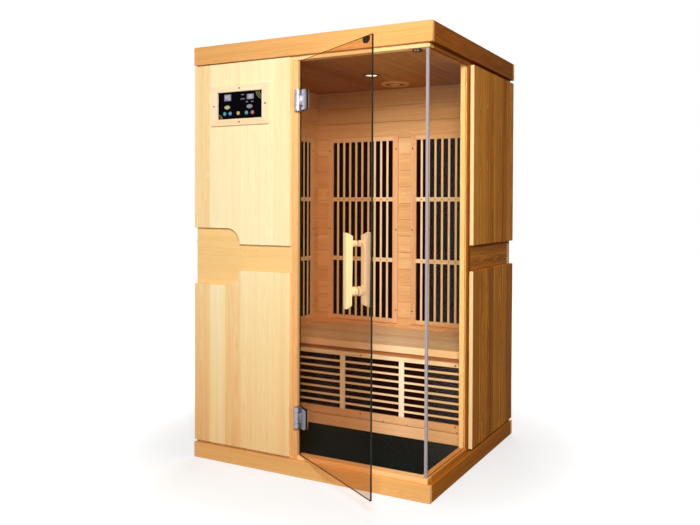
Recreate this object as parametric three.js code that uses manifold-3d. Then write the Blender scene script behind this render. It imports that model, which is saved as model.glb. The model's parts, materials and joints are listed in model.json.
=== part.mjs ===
// Two-seat infrared sauna cabin with a frameless glass door, millimetres, +Z up.
// The front faces -Y, +X is to the right seen from the front, the origin is on the floor at the centre.
import * as THREE from 'three';
import { mergeVertices } from 'three/addons/utils/BufferGeometryUtils.js';
import Module from 'manifold-3d';

// Overall size
const cabinWidth = 1200;
const cabinDepth = 1050;
const cabinHeight = 1900;
const touchGap = 0.5; // between pieces that rest on or stand against each other
const overcut = 1; // how far a cutter reaches past the face it opens

// Base and floor
const skirtHeight = 70;
const skirtThickness = 20;
const floorTop = 68;
const floorThickness = 20;
const bearerWidth = 60;
const bearerPitch = 200;
const bearerCount = 5;
const matThickness = 3.5;
const curbHeight = 21; // threshold and glass sill, above the floor
const curbDepth = 40;

// Walls
const wallThickness = 24;
const backWallThickness = 39;
const boardHeight = 90; // tongue-and-groove boards inside
const grooveWidth = 6;
const grooveDepth = 3;
const jambWidth = 30;
const frontPanelWidth = 529; // from the left cladding face to the jamb
const postWidth = 41;
const postDepth = 40;
const postToSeat = 25; // room between the post and the seat behind it

// Outer cladding of upright planks
const claddingThickness = 17.5;
const claddingBottom = 82;
const claddingTopGap = 5; // under the fascia
const sideCladdingTopGap = 15;
const frontPlankCount = 6;
const sidePlankWidth = 97;
const postReveal = 20; // bare post in front of the right cladding
const waistCentre = 939;
const waistHalfHeight = 58.5;
const waistStepRadius = 71.5;
const waistWideLength = 188; // from the left cladding face to the rounded step of the front waist

// Roof
const fasciaHeight = 83;
const fasciaThickness = 20;
const roofThickness = 33;
const ceilingBoardWidth = 90;
const headRailDrop = 17; // below the ceiling

// Side glass
const glassThickness = 8;
const sideGlassInset = 14; // mid-plane of the pane from the wall's outer face
const glassGrooveDepth = 8;
const postGrooveDepth = 12;
const stripWall = 1.2;
const stripLength = 9;

// Heater guards
const guardDepth = 16;
const slatThickness = 4;
const heaterThickness = 8;
const guardWidth = 440;
const guardAboveSeat = 25;
const guardHeight = 1026;
const guardStile = 30;
const guardRail = 24;
const guardCrossRail = 22.5;
const guardCrossRailCount = 2;
const guardSlatCount = 9;
const guardSlatWidth = 12;
const backGuardSpacing = 521; // centre to centre
const backGuardShift = 3.5; // middle of the pair, right of the cabin's middle
const sideGuardFromBack = 290;

// Bench
const seatTop = 504;
const seatThickness = 34;
const seatDepth = 494;
const seatBoardWidth = 98;
const seatNosing = 2; // seat edge in front of the bench panel
const benchReveal = 20.5; // bench frame showing under the seat
const benchTopRail = 20;
const benchRowCount = 8;
const benchRowPitch = 34.5;
const benchSlatHeight = 10.5;
const benchEndStile = 24;
const benchColumnCount = 3;
const benchColumnWidth = 297;
const benchDividerWidth = 27;
const benchFrameHeight = 45;
const benchFrameThickness = 22;

// Ceiling fittings
const ceilingFittingX = 20;
const lampY = 55;
const lampFlangeRadius = 45;
const lampBodyRadius = 30;
const lampBodyHeight = 22;
const lampFlangeThickness = 4;
const ventFromBack = 167;
const ventRadius = 75;
const ventThickness = 11;
const ventSpigotRadius = 50;
const ventSpigotHeight = 24;

// Control panel
const bezelFromLeft = 264; // to its centre, from the left cladding face
const bezelFromTop = 191.5; // to its centre, from the top of the cladding
const bezelWidth = 322;
const bezelHeight = 180;
const bezelOpeningWidth = 246;
const bezelOpeningHeight = 121;
const bezelThickness = 10;
const plateLip = 4; // plate edge held behind the bezel
const plateThickness = 5;
const buttonRadius = 8.5;
const buttonProud = 2.5;
const buttonChamfer = 1;
const buttonFlange = 2;
const buttonFlangeThickness = 2;
const buttonRowDrop = 35; // below the plate's centre
const buttons = [
  { name: 'temperature_up_button', fromCentre: -88, colour: 0x5f93c8 },
  { name: 'temperature_down_button', fromCentre: -57, colour: 0x5f93c8 },
  { name: 'power_button', fromCentre: -12, colour: 0xd9bb62 },
  { name: 'time_up_button', fromCentre: 34, colour: 0x5f93c8 },
  { name: 'time_down_button', fromCentre: 67, colour: 0xb8423a },
];

// Door
const doorOpenAngle = THREE.MathUtils.degToRad(31); // how far the door stands open
const hingePastJamb = 7; // axis from the jamb's edge
const hingeProud = 13; // axis in front of the wall's outer face
const doorBottomGap = 3;
const doorTopGap = 3;
const doorHingeGap = 2; // pane edge from the jamb
const doorEdgeBack = 1; // free edge short of the side glass's mid-plane
const doorSetback = 1; // pane behind the wall's outer face when closed
const lowerHingeRise = 165; // hinge centres from the ends of the pane
const upperHingeDrop = 172;
const knuckleClearance = 1;
const knuckleRadius = 13;
const knuckleEndHeight = 23;
const knuckleMiddleHeight = 46;
const hingePinRadius = 4;
const hingePlateThickness = 4;
const hingePlateReach = 12; // on the jamb, behind the wall's outer face
const hingeNotchDepth = 25; // cut-out in the pane round each hinge
const hingeNotchMargin = 1;
const clampLength = 40;
const clampPlateThickness = 4;
const clampSetback = 2; // clamp ends inside the hinge's ends
const handleFromFreeEdge = 109;
const handleCentreZ = 930;
const handleHeight = 286;
const handleWidth = 30;
const handleThickness = 26;
const handleEndSlant = 13;
const standoffSpacing = 180;
const standoffRise = 11; // middle of the standoffs above the middle of the bar
const standoffRadius = 12;
const lowerStandoffRadius = 18;
const standoffLength = 22;
const handleBoltRadius = 5;
const strikeWidth = 48;
const strikeHeight = 24;
const strikeThickness = 3;
const strikeFromFreeEdge = 55;
const catchWidth = 36;
const catchDepth = 23;
const catchHeight = 12;
const catchFromFreeEdge = 49;
const catchAirGap = 1;

// Power box in the roof recess
const powerBoxWidth = 260;
const powerBoxDepth = 160;
const powerBoxHeight = 38;
const powerBoxFromLeft = 300;
const powerBoxFromBack = 224;
const glandRadius = 9;
const glandLength = 24;

// Places worked out from the sizes above
const halfWidth = cabinWidth / 2;
const halfDepth = cabinDepth / 2;
const wallOuterX = halfWidth - skirtThickness;
const wallOuterY = halfDepth - skirtThickness;
const wallInnerX = wallOuterX - wallThickness;
const claddingFaceX = wallOuterX + touchGap + claddingThickness;
const claddingFaceY = wallOuterY + touchGap + claddingThickness;
const backInnerY = claddingFaceY - backWallThickness;
const ceilingZ = cabinHeight - fasciaHeight;
const wallBottom = floorTop + touchGap;
const wallTop = ceilingZ - touchGap;
const claddingTop = ceilingZ - claddingTopGap;
const sideCladdingTop = ceilingZ - sideCladdingTopGap;
const headRailBottom = ceilingZ - headRailDrop;
const curbTop = floorTop + curbHeight;
const curbInnerY = -wallOuterY + curbDepth;
const frontWallEndX = frontPanelWidth - claddingFaceX;
const jambEndX = frontWallEndX + jambWidth;
const seatFrontY = backInnerY - seatDepth;
const benchPanelFrontY = seatFrontY + seatNosing;
const benchPanelTop = seatTop - seatThickness - benchReveal;
const guardBottom = seatTop + guardAboveSeat;
const guardTop = guardBottom + guardHeight;
const sideGuardY = backInnerY - sideGuardFromBack;
// The post stays clear of the seat and of the side guard, whichever comes further forward
const postBackY = Math.min(seatFrontY - postToSeat, sideGuardY - guardWidth / 2 - touchGap);
const postFrontY = postBackY - postDepth;
const bezelCentreX = bezelFromLeft - claddingFaceX;
const bezelCentreZ = claddingTop - bezelFromTop;
const sideGlassX = wallOuterX - sideGlassInset;
const glassInnerX = sideGlassX - glassThickness / 2;
const glassOuterX = sideGlassX + glassThickness / 2;
const hingeAxisX = jambEndX + hingePastJamb;
const hingeAxisY = -wallOuterY - hingeProud;
const doorBottom = curbTop + doorBottomGap;
const doorTop = headRailBottom - doorTopGap;
const doorHingeEdgeX = jambEndX + doorHingeGap; // closed, as are the next two
const doorFreeEdgeX = sideGlassX - doorEdgeBack;
const doorOuterFaceY = -wallOuterY + doorSetback;
const doorInnerFaceY = doorOuterFaceY + glassThickness;
const hingeHeights = [doorBottom + lowerHingeRise, doorTop - upperHingeDrop];
const sideGlassFrontY = doorInnerFaceY + touchGap + stripWall;

function finish(colour, roughness, metalness = 0, opacity = 1) {
  return new THREE.MeshStandardMaterial({
    color: colour, roughness, metalness, opacity, transparent: opacity < 1,
  });
}

const finishes = {
  claddingWood: finish(0xf2d9a6, 0.55),
  trimWood: finish(0xe6b878, 0.5),
  innerWood: finish(0xd9a469, 0.6),
  benchWood: finish(0xdcae74, 0.55),
  handleWood: finish(0xe9c68e, 0.5),
  tintedGlass: finish(0x93a08f, 0.05, 0, 0.35),
  clearStrip: finish(0xd9cfd4, 0.35, 0, 0.8),
  chrome: finish(0xd9dade, 0.12, 1),
  blackPlastic: finish(0x18181a, 0.4),
  blackMat: finish(0x1b1b1d, 0.85),
  heaterBlack: finish(0x141414, 0.7),
  lampWhite: finish(0xfff3df, 0.3),
  ventWood: finish(0xc98f5c, 0.6),
  boxSteel: finish(0xbfc3c6, 0.4, 0.8),
};

const wasm = await Module();
wasm.setup();

function solid(geometry) {
  const bare = geometry.clone();
  bare.deleteAttribute('normal');
  bare.deleteAttribute('uv');
  const merged = mergeVertices(bare, 1e-4);
  return new wasm.Manifold(new wasm.Mesh({
    numProp: 3,
    vertProperties: new Float32Array(merged.attributes.position.array),
    triVerts: new Uint32Array(merged.index.array),
  }));
}

function geometryOf(body) {
  const mesh = body.getMesh();
  const geometry = new THREE.BufferGeometry();
  geometry.setAttribute('position', new THREE.BufferAttribute(new Float32Array(mesh.vertProperties), 3));
  geometry.setIndex(new THREE.BufferAttribute(new Uint32Array(mesh.triVerts), 1));
  geometry.computeVertexNormals();
  return geometry;
}

function join(...pieces) {
  return geometryOf(pieces.map(solid).reduce((whole, next) => whole.add(next)));
}

function cut(piece, ...cutters) {
  return geometryOf(cutters.map(solid).reduce((whole, next) => whole.subtract(next), solid(piece)));
}

function box([x0, x1], [y0, y1], [z0, z1]) {
  const geometry = new THREE.BoxGeometry(x1 - x0, y1 - y0, z1 - z0);
  return geometry.translate((x0 + x1) / 2, (y0 + y1) / 2, (z0 + z1) / 2);
}

function flatShape(points) {
  return new THREE.Shape(points.map(([a, b]) => new THREE.Vector2(a, b)));
}

// A flat outline carried straight along one axis: 'x' takes (y, z), 'y' takes (x, z), 'z' takes (x, y)
function prism(shape, axis, from, to, curveSegments = 12) {
  const geometry = new THREE.ExtrudeGeometry(shape, {
    depth: to - from, bevelEnabled: false, curveSegments,
  });
  const turn = new THREE.Matrix4();
  if (axis === 'x') {
    turn.set(0, 0, 1, from, 1, 0, 0, 0, 0, 1, 0, 0, 0, 0, 0, 1);
  } else if (axis === 'y') {
    turn.set(1, 0, 0, 0, 0, 0, -1, to, 0, 1, 0, 0, 0, 0, 0, 1);
  } else {
    turn.makeTranslation(0, 0, from);
  }
  return geometry.applyMatrix4(turn);
}

// A round rod between two points of one axis
function rod(axis, [x, y, z], radius, length, sides = 24) {
  const geometry = new THREE.CylinderGeometry(radius, radius, length, sides);
  if (axis === 'x') geometry.rotateZ(-Math.PI / 2);
  if (axis === 'z') geometry.rotateX(Math.PI / 2);
  return geometry.translate(x, y, z);
}

function rectangle([a0, a1], [b0, b1]) {
  return [[a0, b0], [a1, b0], [a1, b1], [a0, b1]];
}

// Places of the joints between boards of one width, counted from one edge
function jointsBetween(from, to, anchor, pitch) {
  const first = Math.ceil((from + grooveWidth - anchor) / pitch);
  const last = Math.floor((to - grooveWidth - anchor) / pitch);
  return Array.from({ length: Math.max(0, last - first + 1) }, (_, i) => anchor + (first + i) * pitch);
}

// Section across a wall of boards: V grooves on the face, a plain back
function boardSection({ from, to, face, back, joints }) {
  const inward = Math.sign(back - face) * grooveDepth;
  const grooves = [...joints].reverse().flatMap((at) => [
    [at + grooveWidth / 2, face],
    [at, face + inward],
    [at - grooveWidth / 2, face],
  ]);
  return [[from, back], [to, back], [to, face], ...grooves, [from, face]];
}

const swapped = (points) => points.map(([a, b]) => [b, a]);

function grooveCutter(axis, from, to, along, face, inward) {
  const half = grooveWidth / 2;
  const proud = -Math.sign(inward) * overcut;
  const points = [
    [along - half, face], [along, face + inward], [along + half, face],
    [along + half, face + proud], [along - half, face + proud],
  ];
  return prism(flatShape(points), axis, from, to);
}

const cabin = new THREE.Group();

function add(parent, name, geometry, material) {
  const mesh = new THREE.Mesh(geometry, material);
  mesh.name = name;
  parent.add(mesh);
  return mesh;
}

function ringOfBoards(prefix, thickness, zSpan) {
  const front = [-halfDepth, -halfDepth + thickness];
  const back = [halfDepth - thickness, halfDepth];
  const between = [front[1] + touchGap, back[0] - touchGap];
  const wide = [-halfWidth, halfWidth];
  const { trimWood } = finishes;
  add(cabin, `${prefix}_front`, box(wide, front, zSpan), trimWood);
  add(cabin, `${prefix}_back`, box(wide, back, zSpan), trimWood);
  add(cabin, `${prefix}_left`, box([-halfWidth, -halfWidth + thickness], between, zSpan), trimWood);
  add(cabin, `${prefix}_right`, box([halfWidth - thickness, halfWidth], between, zSpan), trimWood);
}

function makeFloor() {
  const spanX = [-wallOuterX + touchGap, wallOuterX - touchGap];
  const spanY = [-wallOuterY + touchGap, wallOuterY - touchGap];
  const slab = box(spanX, spanY, [floorTop - floorThickness, floorTop]);
  const bearers = Array.from({ length: bearerCount }, (_, i) => {
    const y = (i - (bearerCount - 1) / 2) * bearerPitch;
    return box(spanX, [y - bearerWidth / 2, y + bearerWidth / 2], [0, floorTop - floorThickness / 2]);
  });
  add(cabin, 'floor_base', join(slab, ...bearers), finishes.innerWood);
  const matX = [-wallInnerX + touchGap, wallOuterX - curbDepth - touchGap];
  const matY = [curbInnerY + touchGap, benchPanelFrontY - touchGap];
  const matZ = [floorTop + touchGap, floorTop + touchGap + matThickness];
  const mat = box(matX, matY, matZ);
  const post = box([wallOuterX - postWidth - touchGap, wallOuterX],
    [postFrontY - touchGap, postBackY + touchGap], [0, curbTop]);
  add(cabin, 'floor_mat', cut(mat, post), finishes.blackMat);
}

// Room for the side glass in the curbs, head rails and post
function glassSlot(zSpan) {
  const slotX = [glassInnerX - touchGap, glassOuterX + touchGap];
  const slotY = [sideGlassFrontY - touchGap, postFrontY + postGrooveDepth];
  return box(slotX, slotY, zSpan);
}

function makeCurbsAndRails() {
  const frontSpan = [-wallOuterY, curbInnerY];
  const sideX = [wallOuterX - curbDepth, wallOuterX];
  const sideY = [curbInnerY + touchGap, postFrontY - touchGap];
  const curbZ = [wallBottom, curbTop];
  const railZ = [headRailBottom, wallTop];
  const lowSlot = glassSlot([curbTop - glassGrooveDepth, curbTop + overcut]);
  const highSlot = glassSlot([headRailBottom - overcut, headRailBottom + glassGrooveDepth]);
  const { trimWood } = finishes;
  const curb = box([jambEndX + touchGap, wallOuterX], frontSpan, curbZ);
  add(cabin, 'threshold', cut(curb, lowSlot), trimWood);
  add(cabin, 'glass_sill', cut(box(sideX, sideY, curbZ), lowSlot), trimWood);
  const rail = box([frontWallEndX, wallOuterX], frontSpan, railZ);
  add(cabin, 'head_rail_front', cut(rail, highSlot), trimWood);
  add(cabin, 'head_rail_right', cut(box(sideX, sideY, railZ), highSlot), trimWood);
}

function makeWalls() {
  const zSpan = { from: wallBottom, to: wallTop };
  const joints = jointsBetween(wallBottom, wallTop, ceilingZ, boardHeight);
  const { innerWood } = finishes;
  const frontWallY = [-wallOuterY, -wallOuterY + wallThickness];
  const sideSection = (side) => flatShape(swapped(boardSection({
    ...zSpan, face: side * wallInnerX, back: side * wallOuterX, joints,
  })));
  const leftSpan = [frontWallY[1] + touchGap, backInnerY - touchGap];
  const rightSpan = [postBackY + touchGap, backInnerY - touchGap];
  add(cabin, 'left_wall', prism(sideSection(-1), 'y', ...leftSpan), innerWood);
  add(cabin, 'right_wall', prism(sideSection(1), 'y', ...rightSpan), innerWood);
  const onSkirt = { from: skirtHeight + touchGap, to: wallTop };
  const frontSection = boardSection({ ...onSkirt, face: frontWallY[1], back: frontWallY[0], joints });
  const frontEnds = [-claddingFaceX, frontWallEndX - touchGap];
  add(cabin, 'front_wall', prism(flatShape(swapped(frontSection)), 'x', ...frontEnds), innerWood);
  const backOuterY = backInnerY + backWallThickness;
  const backSection = boardSection({ ...onSkirt, face: backInnerY, back: backOuterY, joints });
  const slab = prism(flatShape(swapped(backSection)), 'x', -wallOuterX, wallOuterX);
  const outerJoints = jointsBetween(-wallOuterX, wallOuterX, 0, sidePlankWidth);
  const outerGrooves = outerJoints.map((x) => (
    grooveCutter('z', onSkirt.from - overcut, onSkirt.to + overcut, x, backOuterY, -grooveDepth)));
  add(cabin, 'back_wall', cut(slab, ...outerGrooves), innerWood);
}

function makePosts() {
  const jamb = box([frontWallEndX, jambEndX], [-wallOuterY, -wallOuterY + wallThickness],
    [wallBottom, headRailBottom - touchGap]);
  add(cabin, 'door_jamb', jamb, finishes.trimWood);
  const post = box([wallOuterX - postWidth, wallOuterX], [postFrontY, postBackY], [wallBottom, wallTop]);
  const groove = glassSlot([wallBottom - overcut, wallTop + overcut]);
  add(cabin, 'glass_post', cut(post, groove), finishes.trimWood);
}

// Front cladding outline: a straight edge on three sides and the stepped waist on the fourth
function frontCladdingShape(left, right, edgeZ, waistSign) {
  const narrowZ = waistCentre + waistSign * waistHalfHeight;
  const wideZ = narrowZ + waistSign * waistStepRadius;
  const stepX = left + waistWideLength;
  const shape = new THREE.Shape();
  shape.moveTo(left, edgeZ);
  shape.lineTo(left, wideZ);
  shape.lineTo(stepX, wideZ);
  shape.absarc(stepX, narrowZ, waistStepRadius, waistSign * Math.PI / 2, 0, waistSign > 0);
  shape.lineTo(right, narrowZ);
  shape.lineTo(right, edgeZ);
  shape.closePath();
  return shape;
}

function makeFrontCladding() {
  const left = -claddingFaceX;
  const right = frontWallEndX;
  const ySpan = [-claddingFaceY, -wallOuterY - touchGap];
  const plank = (right - left) / frontPlankCount;
  const grooves = Array.from({ length: frontPlankCount - 1 }, (_, i) => grooveCutter(
    'z', claddingBottom - overcut, claddingTop + overcut, left + (i + 1) * plank, ySpan[0], grooveDepth));
  const pocketHalfWidth = bezelOpeningWidth / 2 + plateLip + touchGap;
  const pocketHalfHeight = bezelOpeningHeight / 2 + plateLip + touchGap;
  const pocket = box([bezelCentreX - pocketHalfWidth, bezelCentreX + pocketHalfWidth],
    [ySpan[0] - overcut, ySpan[1] + overcut],
    [bezelCentreZ - pocketHalfHeight, bezelCentreZ + pocketHalfHeight]);
  const upper = prism(frontCladdingShape(left, right, claddingTop, 1), 'y', ...ySpan);
  const lower = prism(frontCladdingShape(left, right, claddingBottom, -1), 'y', ...ySpan);
  add(cabin, 'front_cladding_upper', cut(upper, pocket, ...grooves), finishes.claddingWood);
  add(cabin, 'front_cladding_lower', cut(lower, ...grooves), finishes.claddingWood);
}

function makeSideCladding() {
  const inner = wallOuterX + touchGap;
  const backEnd = backInnerY + backWallThickness;
  const leftFrontY = -wallOuterY + wallThickness + touchGap;
  const spans = { left: [-1, leftFrontY, backEnd], right: [1, postFrontY + postReveal, backEnd] };
  for (const [name, [side, from, to]] of Object.entries(spans)) {
    const section = boardSection({
      from, to, face: side * claddingFaceX, back: side * inner,
      joints: jointsBetween(from, to, to, sidePlankWidth),
    });
    const shape = flatShape(swapped(section));
    const upper = prism(shape, 'z', waistCentre + waistHalfHeight, sideCladdingTop);
    const lower = prism(shape, 'z', claddingBottom, waistCentre - waistHalfHeight);
    add(cabin, `${name}_cladding_upper`, upper, finishes.claddingWood);
    add(cabin, `${name}_cladding_lower`, lower, finishes.claddingWood);
  }
}

function makeSideGlass() {
  const pane = box([glassInnerX, glassOuterX],
    [sideGlassFrontY, postFrontY + postGrooveDepth - touchGap],
    [curbTop - glassGrooveDepth + touchGap, headRailBottom + glassGrooveDepth - touchGap]);
  add(cabin, 'side_glass', pane, finishes.tintedGlass);
  const frontY = sideGlassFrontY - stripWall;
  const slotY = sideGlassFrontY - touchGap;
  const reach = stripWall + touchGap;
  const strip = flatShape([
    [glassInnerX - reach, frontY], [glassOuterX + reach, frontY],
    [glassOuterX + reach, frontY + stripLength], [glassOuterX + touchGap, frontY + stripLength],
    [glassOuterX + touchGap, slotY], [glassInnerX - touchGap, slotY],
    [glassInnerX - touchGap, frontY + stripLength], [glassInnerX - reach, frontY + stripLength],
  ]);
  const stripZ = [curbTop + touchGap, headRailBottom - touchGap];
  add(cabin, 'glass_edge_strip', prism(strip, 'z', ...stripZ), finishes.clearStrip);
}

function lathe(points, sides = 32) {
  const profile = points.map(([r, z]) => new THREE.Vector2(r, z));
  return new THREE.LatheGeometry(profile, sides).rotateX(Math.PI / 2);
}

// A round fitting under the ceiling: a flange and a body let into a hole in the roof panel
function ceilingFitting(name, y, flangeRadius, flangeThickness, bodyRadius, bodyHeight, material) {
  const face = ceilingZ - touchGap;
  const turned = lathe([
    [0, -flangeThickness], [flangeRadius - flangeThickness / 2, -flangeThickness],
    [flangeRadius, -flangeThickness / 2], [flangeRadius, 0], [bodyRadius, 0],
    [bodyRadius, bodyHeight], [0, bodyHeight],
  ]);
  add(cabin, name, turned, material).position.set(ceilingFittingX, y, face);
  const holeDepth = bodyHeight + touchGap;
  const holeCentre = [ceilingFittingX, y, ceilingZ + (holeDepth - overcut) / 2];
  return rod('z', holeCentre, bodyRadius + touchGap, holeDepth + overcut, 32);
}

function makeRoof() {
  const lampHole = ceilingFitting('ceiling_lamp', lampY, lampFlangeRadius, lampFlangeThickness,
    lampBodyRadius, lampBodyHeight, finishes.lampWhite);
  const ventHole = ceilingFitting('ceiling_vent', backInnerY - ventFromBack, ventRadius, ventThickness,
    ventSpigotRadius, ventSpigotHeight, finishes.ventWood);
  const halfX = halfWidth - fasciaThickness - touchGap;
  const halfY = halfDepth - fasciaThickness - touchGap;
  const section = boardSection({
    from: -halfX, to: halfX, face: ceilingZ, back: ceilingZ + roofThickness,
    joints: jointsBetween(-halfX, halfX, 0, ceilingBoardWidth),
  });
  const slab = prism(flatShape(section), 'y', -halfY, halfY);
  add(cabin, 'roof_panel', cut(slab, lampHole, ventHole), finishes.innerWood);
  const seat = ceilingZ + roofThickness + touchGap;
  const powerBoxX = powerBoxFromLeft - halfWidth;
  const powerBoxY = backInnerY - powerBoxFromBack;
  const housing = box([powerBoxX - powerBoxWidth / 2, powerBoxX + powerBoxWidth / 2],
    [powerBoxY - powerBoxDepth / 2, powerBoxY + powerBoxDepth / 2], [seat, seat + powerBoxHeight]);
  const glandY = powerBoxY + powerBoxDepth / 2 + glandLength / 2 - overcut;
  const glandCentre = [powerBoxX, glandY, seat + powerBoxHeight / 2];
  const gland = rod('y', glandCentre, glandRadius, glandLength, 16);
  add(cabin, 'power_box', join(housing, gland), finishes.boxSteel);
}

// A slatted panel standing on the local origin, its back on y = 0 and its front facing -Y
function slattedPanel({ outline, field, openings, depth }) {
  const pocket = box(field[0], [slatThickness - depth, overcut], field[1]);
  const gaps = openings.map(([spanX, spanZ]) => box(spanX, [-depth - overcut, overcut], spanZ));
  return cut(box(outline[0], [-depth, 0], outline[1]), pocket, ...gaps);
}

function spansBetween(from, to, barCount, barWidth) {
  const gap = (to - from - barCount * barWidth) / (barCount + 1);
  return Array.from({ length: barCount + 1 }, (_, i) => {
    const start = from + i * (gap + barWidth);
    return [start, start + gap];
  });
}

function wallGuard() {
  const half = guardWidth / 2;
  const fieldX = [guardStile - half, half - guardStile];
  const fieldZ = [guardBottom + guardRail, guardTop - guardRail];
  const columns = spansBetween(...fieldX, guardSlatCount, guardSlatWidth);
  const rows = spansBetween(...fieldZ, guardCrossRailCount, guardCrossRail);
  const openings = columns.flatMap((column) => rows.map((row) => [column, row]));
  const outline = [[-half, half], [guardBottom, guardTop]];
  return { outline, field: [fieldX, fieldZ], openings, depth: guardDepth };
}

function heaterPanel([fieldX, fieldZ]) {
  return box([fieldX[0] + touchGap, fieldX[1] - touchGap], [-heaterThickness, 0],
    [fieldZ[0] + touchGap, fieldZ[1] - touchGap]);
}

function makeWallHeaters() {
  const guard = wallGuard();
  const panel = slattedPanel(guard);
  const wallFace = backInnerY - touchGap;
  const sideFace = wallInnerX - touchGap;
  const places = {
    back_left: [backGuardShift - backGuardSpacing / 2, wallFace, 0],
    back_right: [backGuardShift + backGuardSpacing / 2, wallFace, 0],
    left: [-sideFace, sideGuardY, Math.PI / 2],
    right: [sideFace, sideGuardY, -Math.PI / 2],
  };
  for (const [name, [x, y, turn]] of Object.entries(places)) {
    const place = new THREE.Group();
    place.position.set(x, y, 0);
    place.rotation.z = turn;
    cabin.add(place);
    add(place, `${name}_heater_guard`, panel, finishes.benchWood);
    add(place, `${name}_heater`, heaterPanel(guard.field), finishes.heaterBlack);
  }
}

function makeBench() {
  const endX = wallInnerX - touchGap;
  const backY = backInnerY - touchGap;
  const seatSection = boardSection({
    from: seatFrontY, to: backY, face: seatTop, back: seatTop - seatThickness,
    joints: jointsBetween(seatFrontY, backY, seatFrontY, seatBoardWidth),
  });
  add(cabin, 'bench_seat', prism(flatShape(seatSection), 'x', -endX, endX), finishes.benchWood);
  const frameTop = seatTop - seatThickness - touchGap;
  const panelBack = benchPanelFrontY + guardDepth;
  const frame = flatShape(rectangle([-endX, endX], [panelBack + touchGap, backY]));
  const inside = rectangle([benchFrameThickness - endX, endX - benchFrameThickness],
    [panelBack + touchGap + benchFrameThickness, backY - benchFrameThickness]);
  frame.holes = [new THREE.Path(flatShape(inside).getPoints())];
  add(cabin, 'bench_frame', prism(frame, 'z', frameTop - benchFrameHeight, frameTop), finishes.benchWood);
  const outline = [[-endX, endX], [floorTop + touchGap, benchPanelTop]];
  const columns = Array.from({ length: benchColumnCount }, (_, i) => {
    const right = endX - benchEndStile - i * (benchColumnWidth + benchDividerWidth);
    return [right - benchColumnWidth, right];
  });
  const rows = Array.from({ length: benchRowCount }, (_, i) => {
    const top = benchPanelTop - benchTopRail - i * benchRowPitch;
    return [top - benchRowPitch + benchSlatHeight, top];
  });
  const field = [[columns.at(-1)[0], columns[0][1]], [rows.at(-1)[0], rows[0][1]]];
  const openings = columns.flatMap((column) => rows.map((row) => [column, row]));
  const place = new THREE.Group();
  place.position.y = panelBack;
  cabin.add(place);
  add(place, 'bench_heater_guard', slattedPanel({ outline, field, openings, depth: guardDepth }),
    finishes.benchWood);
  add(place, 'bench_heater', heaterPanel(field), finishes.heaterBlack);
}

function makeControls() {
  const place = new THREE.Group();
  place.position.set(bezelCentreX, -claddingFaceY, bezelCentreZ);
  cabin.add(place);
  const around = (width, height) => rectangle([-width / 2, width / 2], [-height / 2, height / 2]);
  const bezel = flatShape(around(bezelWidth, bezelHeight));
  bezel.holes = [new THREE.Path(flatShape(around(bezelOpeningWidth, bezelOpeningHeight)).getPoints())];
  add(place, 'control_bezel', prism(bezel, 'y', -touchGap - bezelThickness, -touchGap), finishes.trimWood);
  const plate = flatShape(around(bezelOpeningWidth + 2 * plateLip, bezelOpeningHeight + 2 * plateLip));
  const rowZ = -buttonRowDrop;
  plate.holes = buttons.map(({ fromCentre }) => (
    new THREE.Path().absarc(fromCentre, rowZ, buttonRadius + touchGap, 0, 2 * Math.PI)));
  add(place, 'control_plate', prism(plate, 'y', 0, plateThickness), finishes.blackPlastic);
  const rear = plateThickness + touchGap;
  const capSection = [
    [0, buttonProud], [buttonRadius - buttonChamfer, buttonProud],
    [buttonRadius, buttonProud - buttonChamfer], [buttonRadius, -rear],
    [buttonRadius + buttonFlange, -rear], [buttonRadius + buttonFlange, -rear - buttonFlangeThickness],
    [0, -rear - buttonFlangeThickness],
  ];
  for (const { name, fromCentre, colour } of buttons) {
    const cap = lathe([...capSection].reverse(), 20).rotateX(Math.PI / 2);
    add(place, name, cap, finish(colour, 0.35)).position.set(fromCentre, 0, rowZ);
  }
}

function makeHingeLeaf(name, centreZ) {
  const endZ = knuckleMiddleHeight / 2 + knuckleEndHeight;
  const plateStart = jambEndX + touchGap;
  const plateX = [plateStart, plateStart + hingePlateThickness];
  const plateBackY = -wallOuterY + hingePlateReach - touchGap;
  const clearY = hingeAxisY + knuckleRadius + knuckleClearance;
  const plate = box(plateX, [clearY, plateBackY], [centreZ - endZ, centreZ + endZ]);
  const ends = [-1, 1].flatMap((side) => {
    const spanZ = [centreZ + side * knuckleMiddleHeight / 2, centreZ + side * endZ].sort((a, b) => a - b);
    const middle = (spanZ[0] + spanZ[1]) / 2;
    const knuckle = rod('z', [hingeAxisX, hingeAxisY, middle], knuckleRadius, knuckleEndHeight);
    return [knuckle, box(plateX, [hingeAxisY, clearY + overcut], spanZ)];
  });
  const pin = rod('z', [hingeAxisX, hingeAxisY, centreZ], hingePinRadius, 2 * endZ - 2 * overcut, 16);
  add(cabin, name, join(plate, ...ends, pin), finishes.chrome);
}

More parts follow.
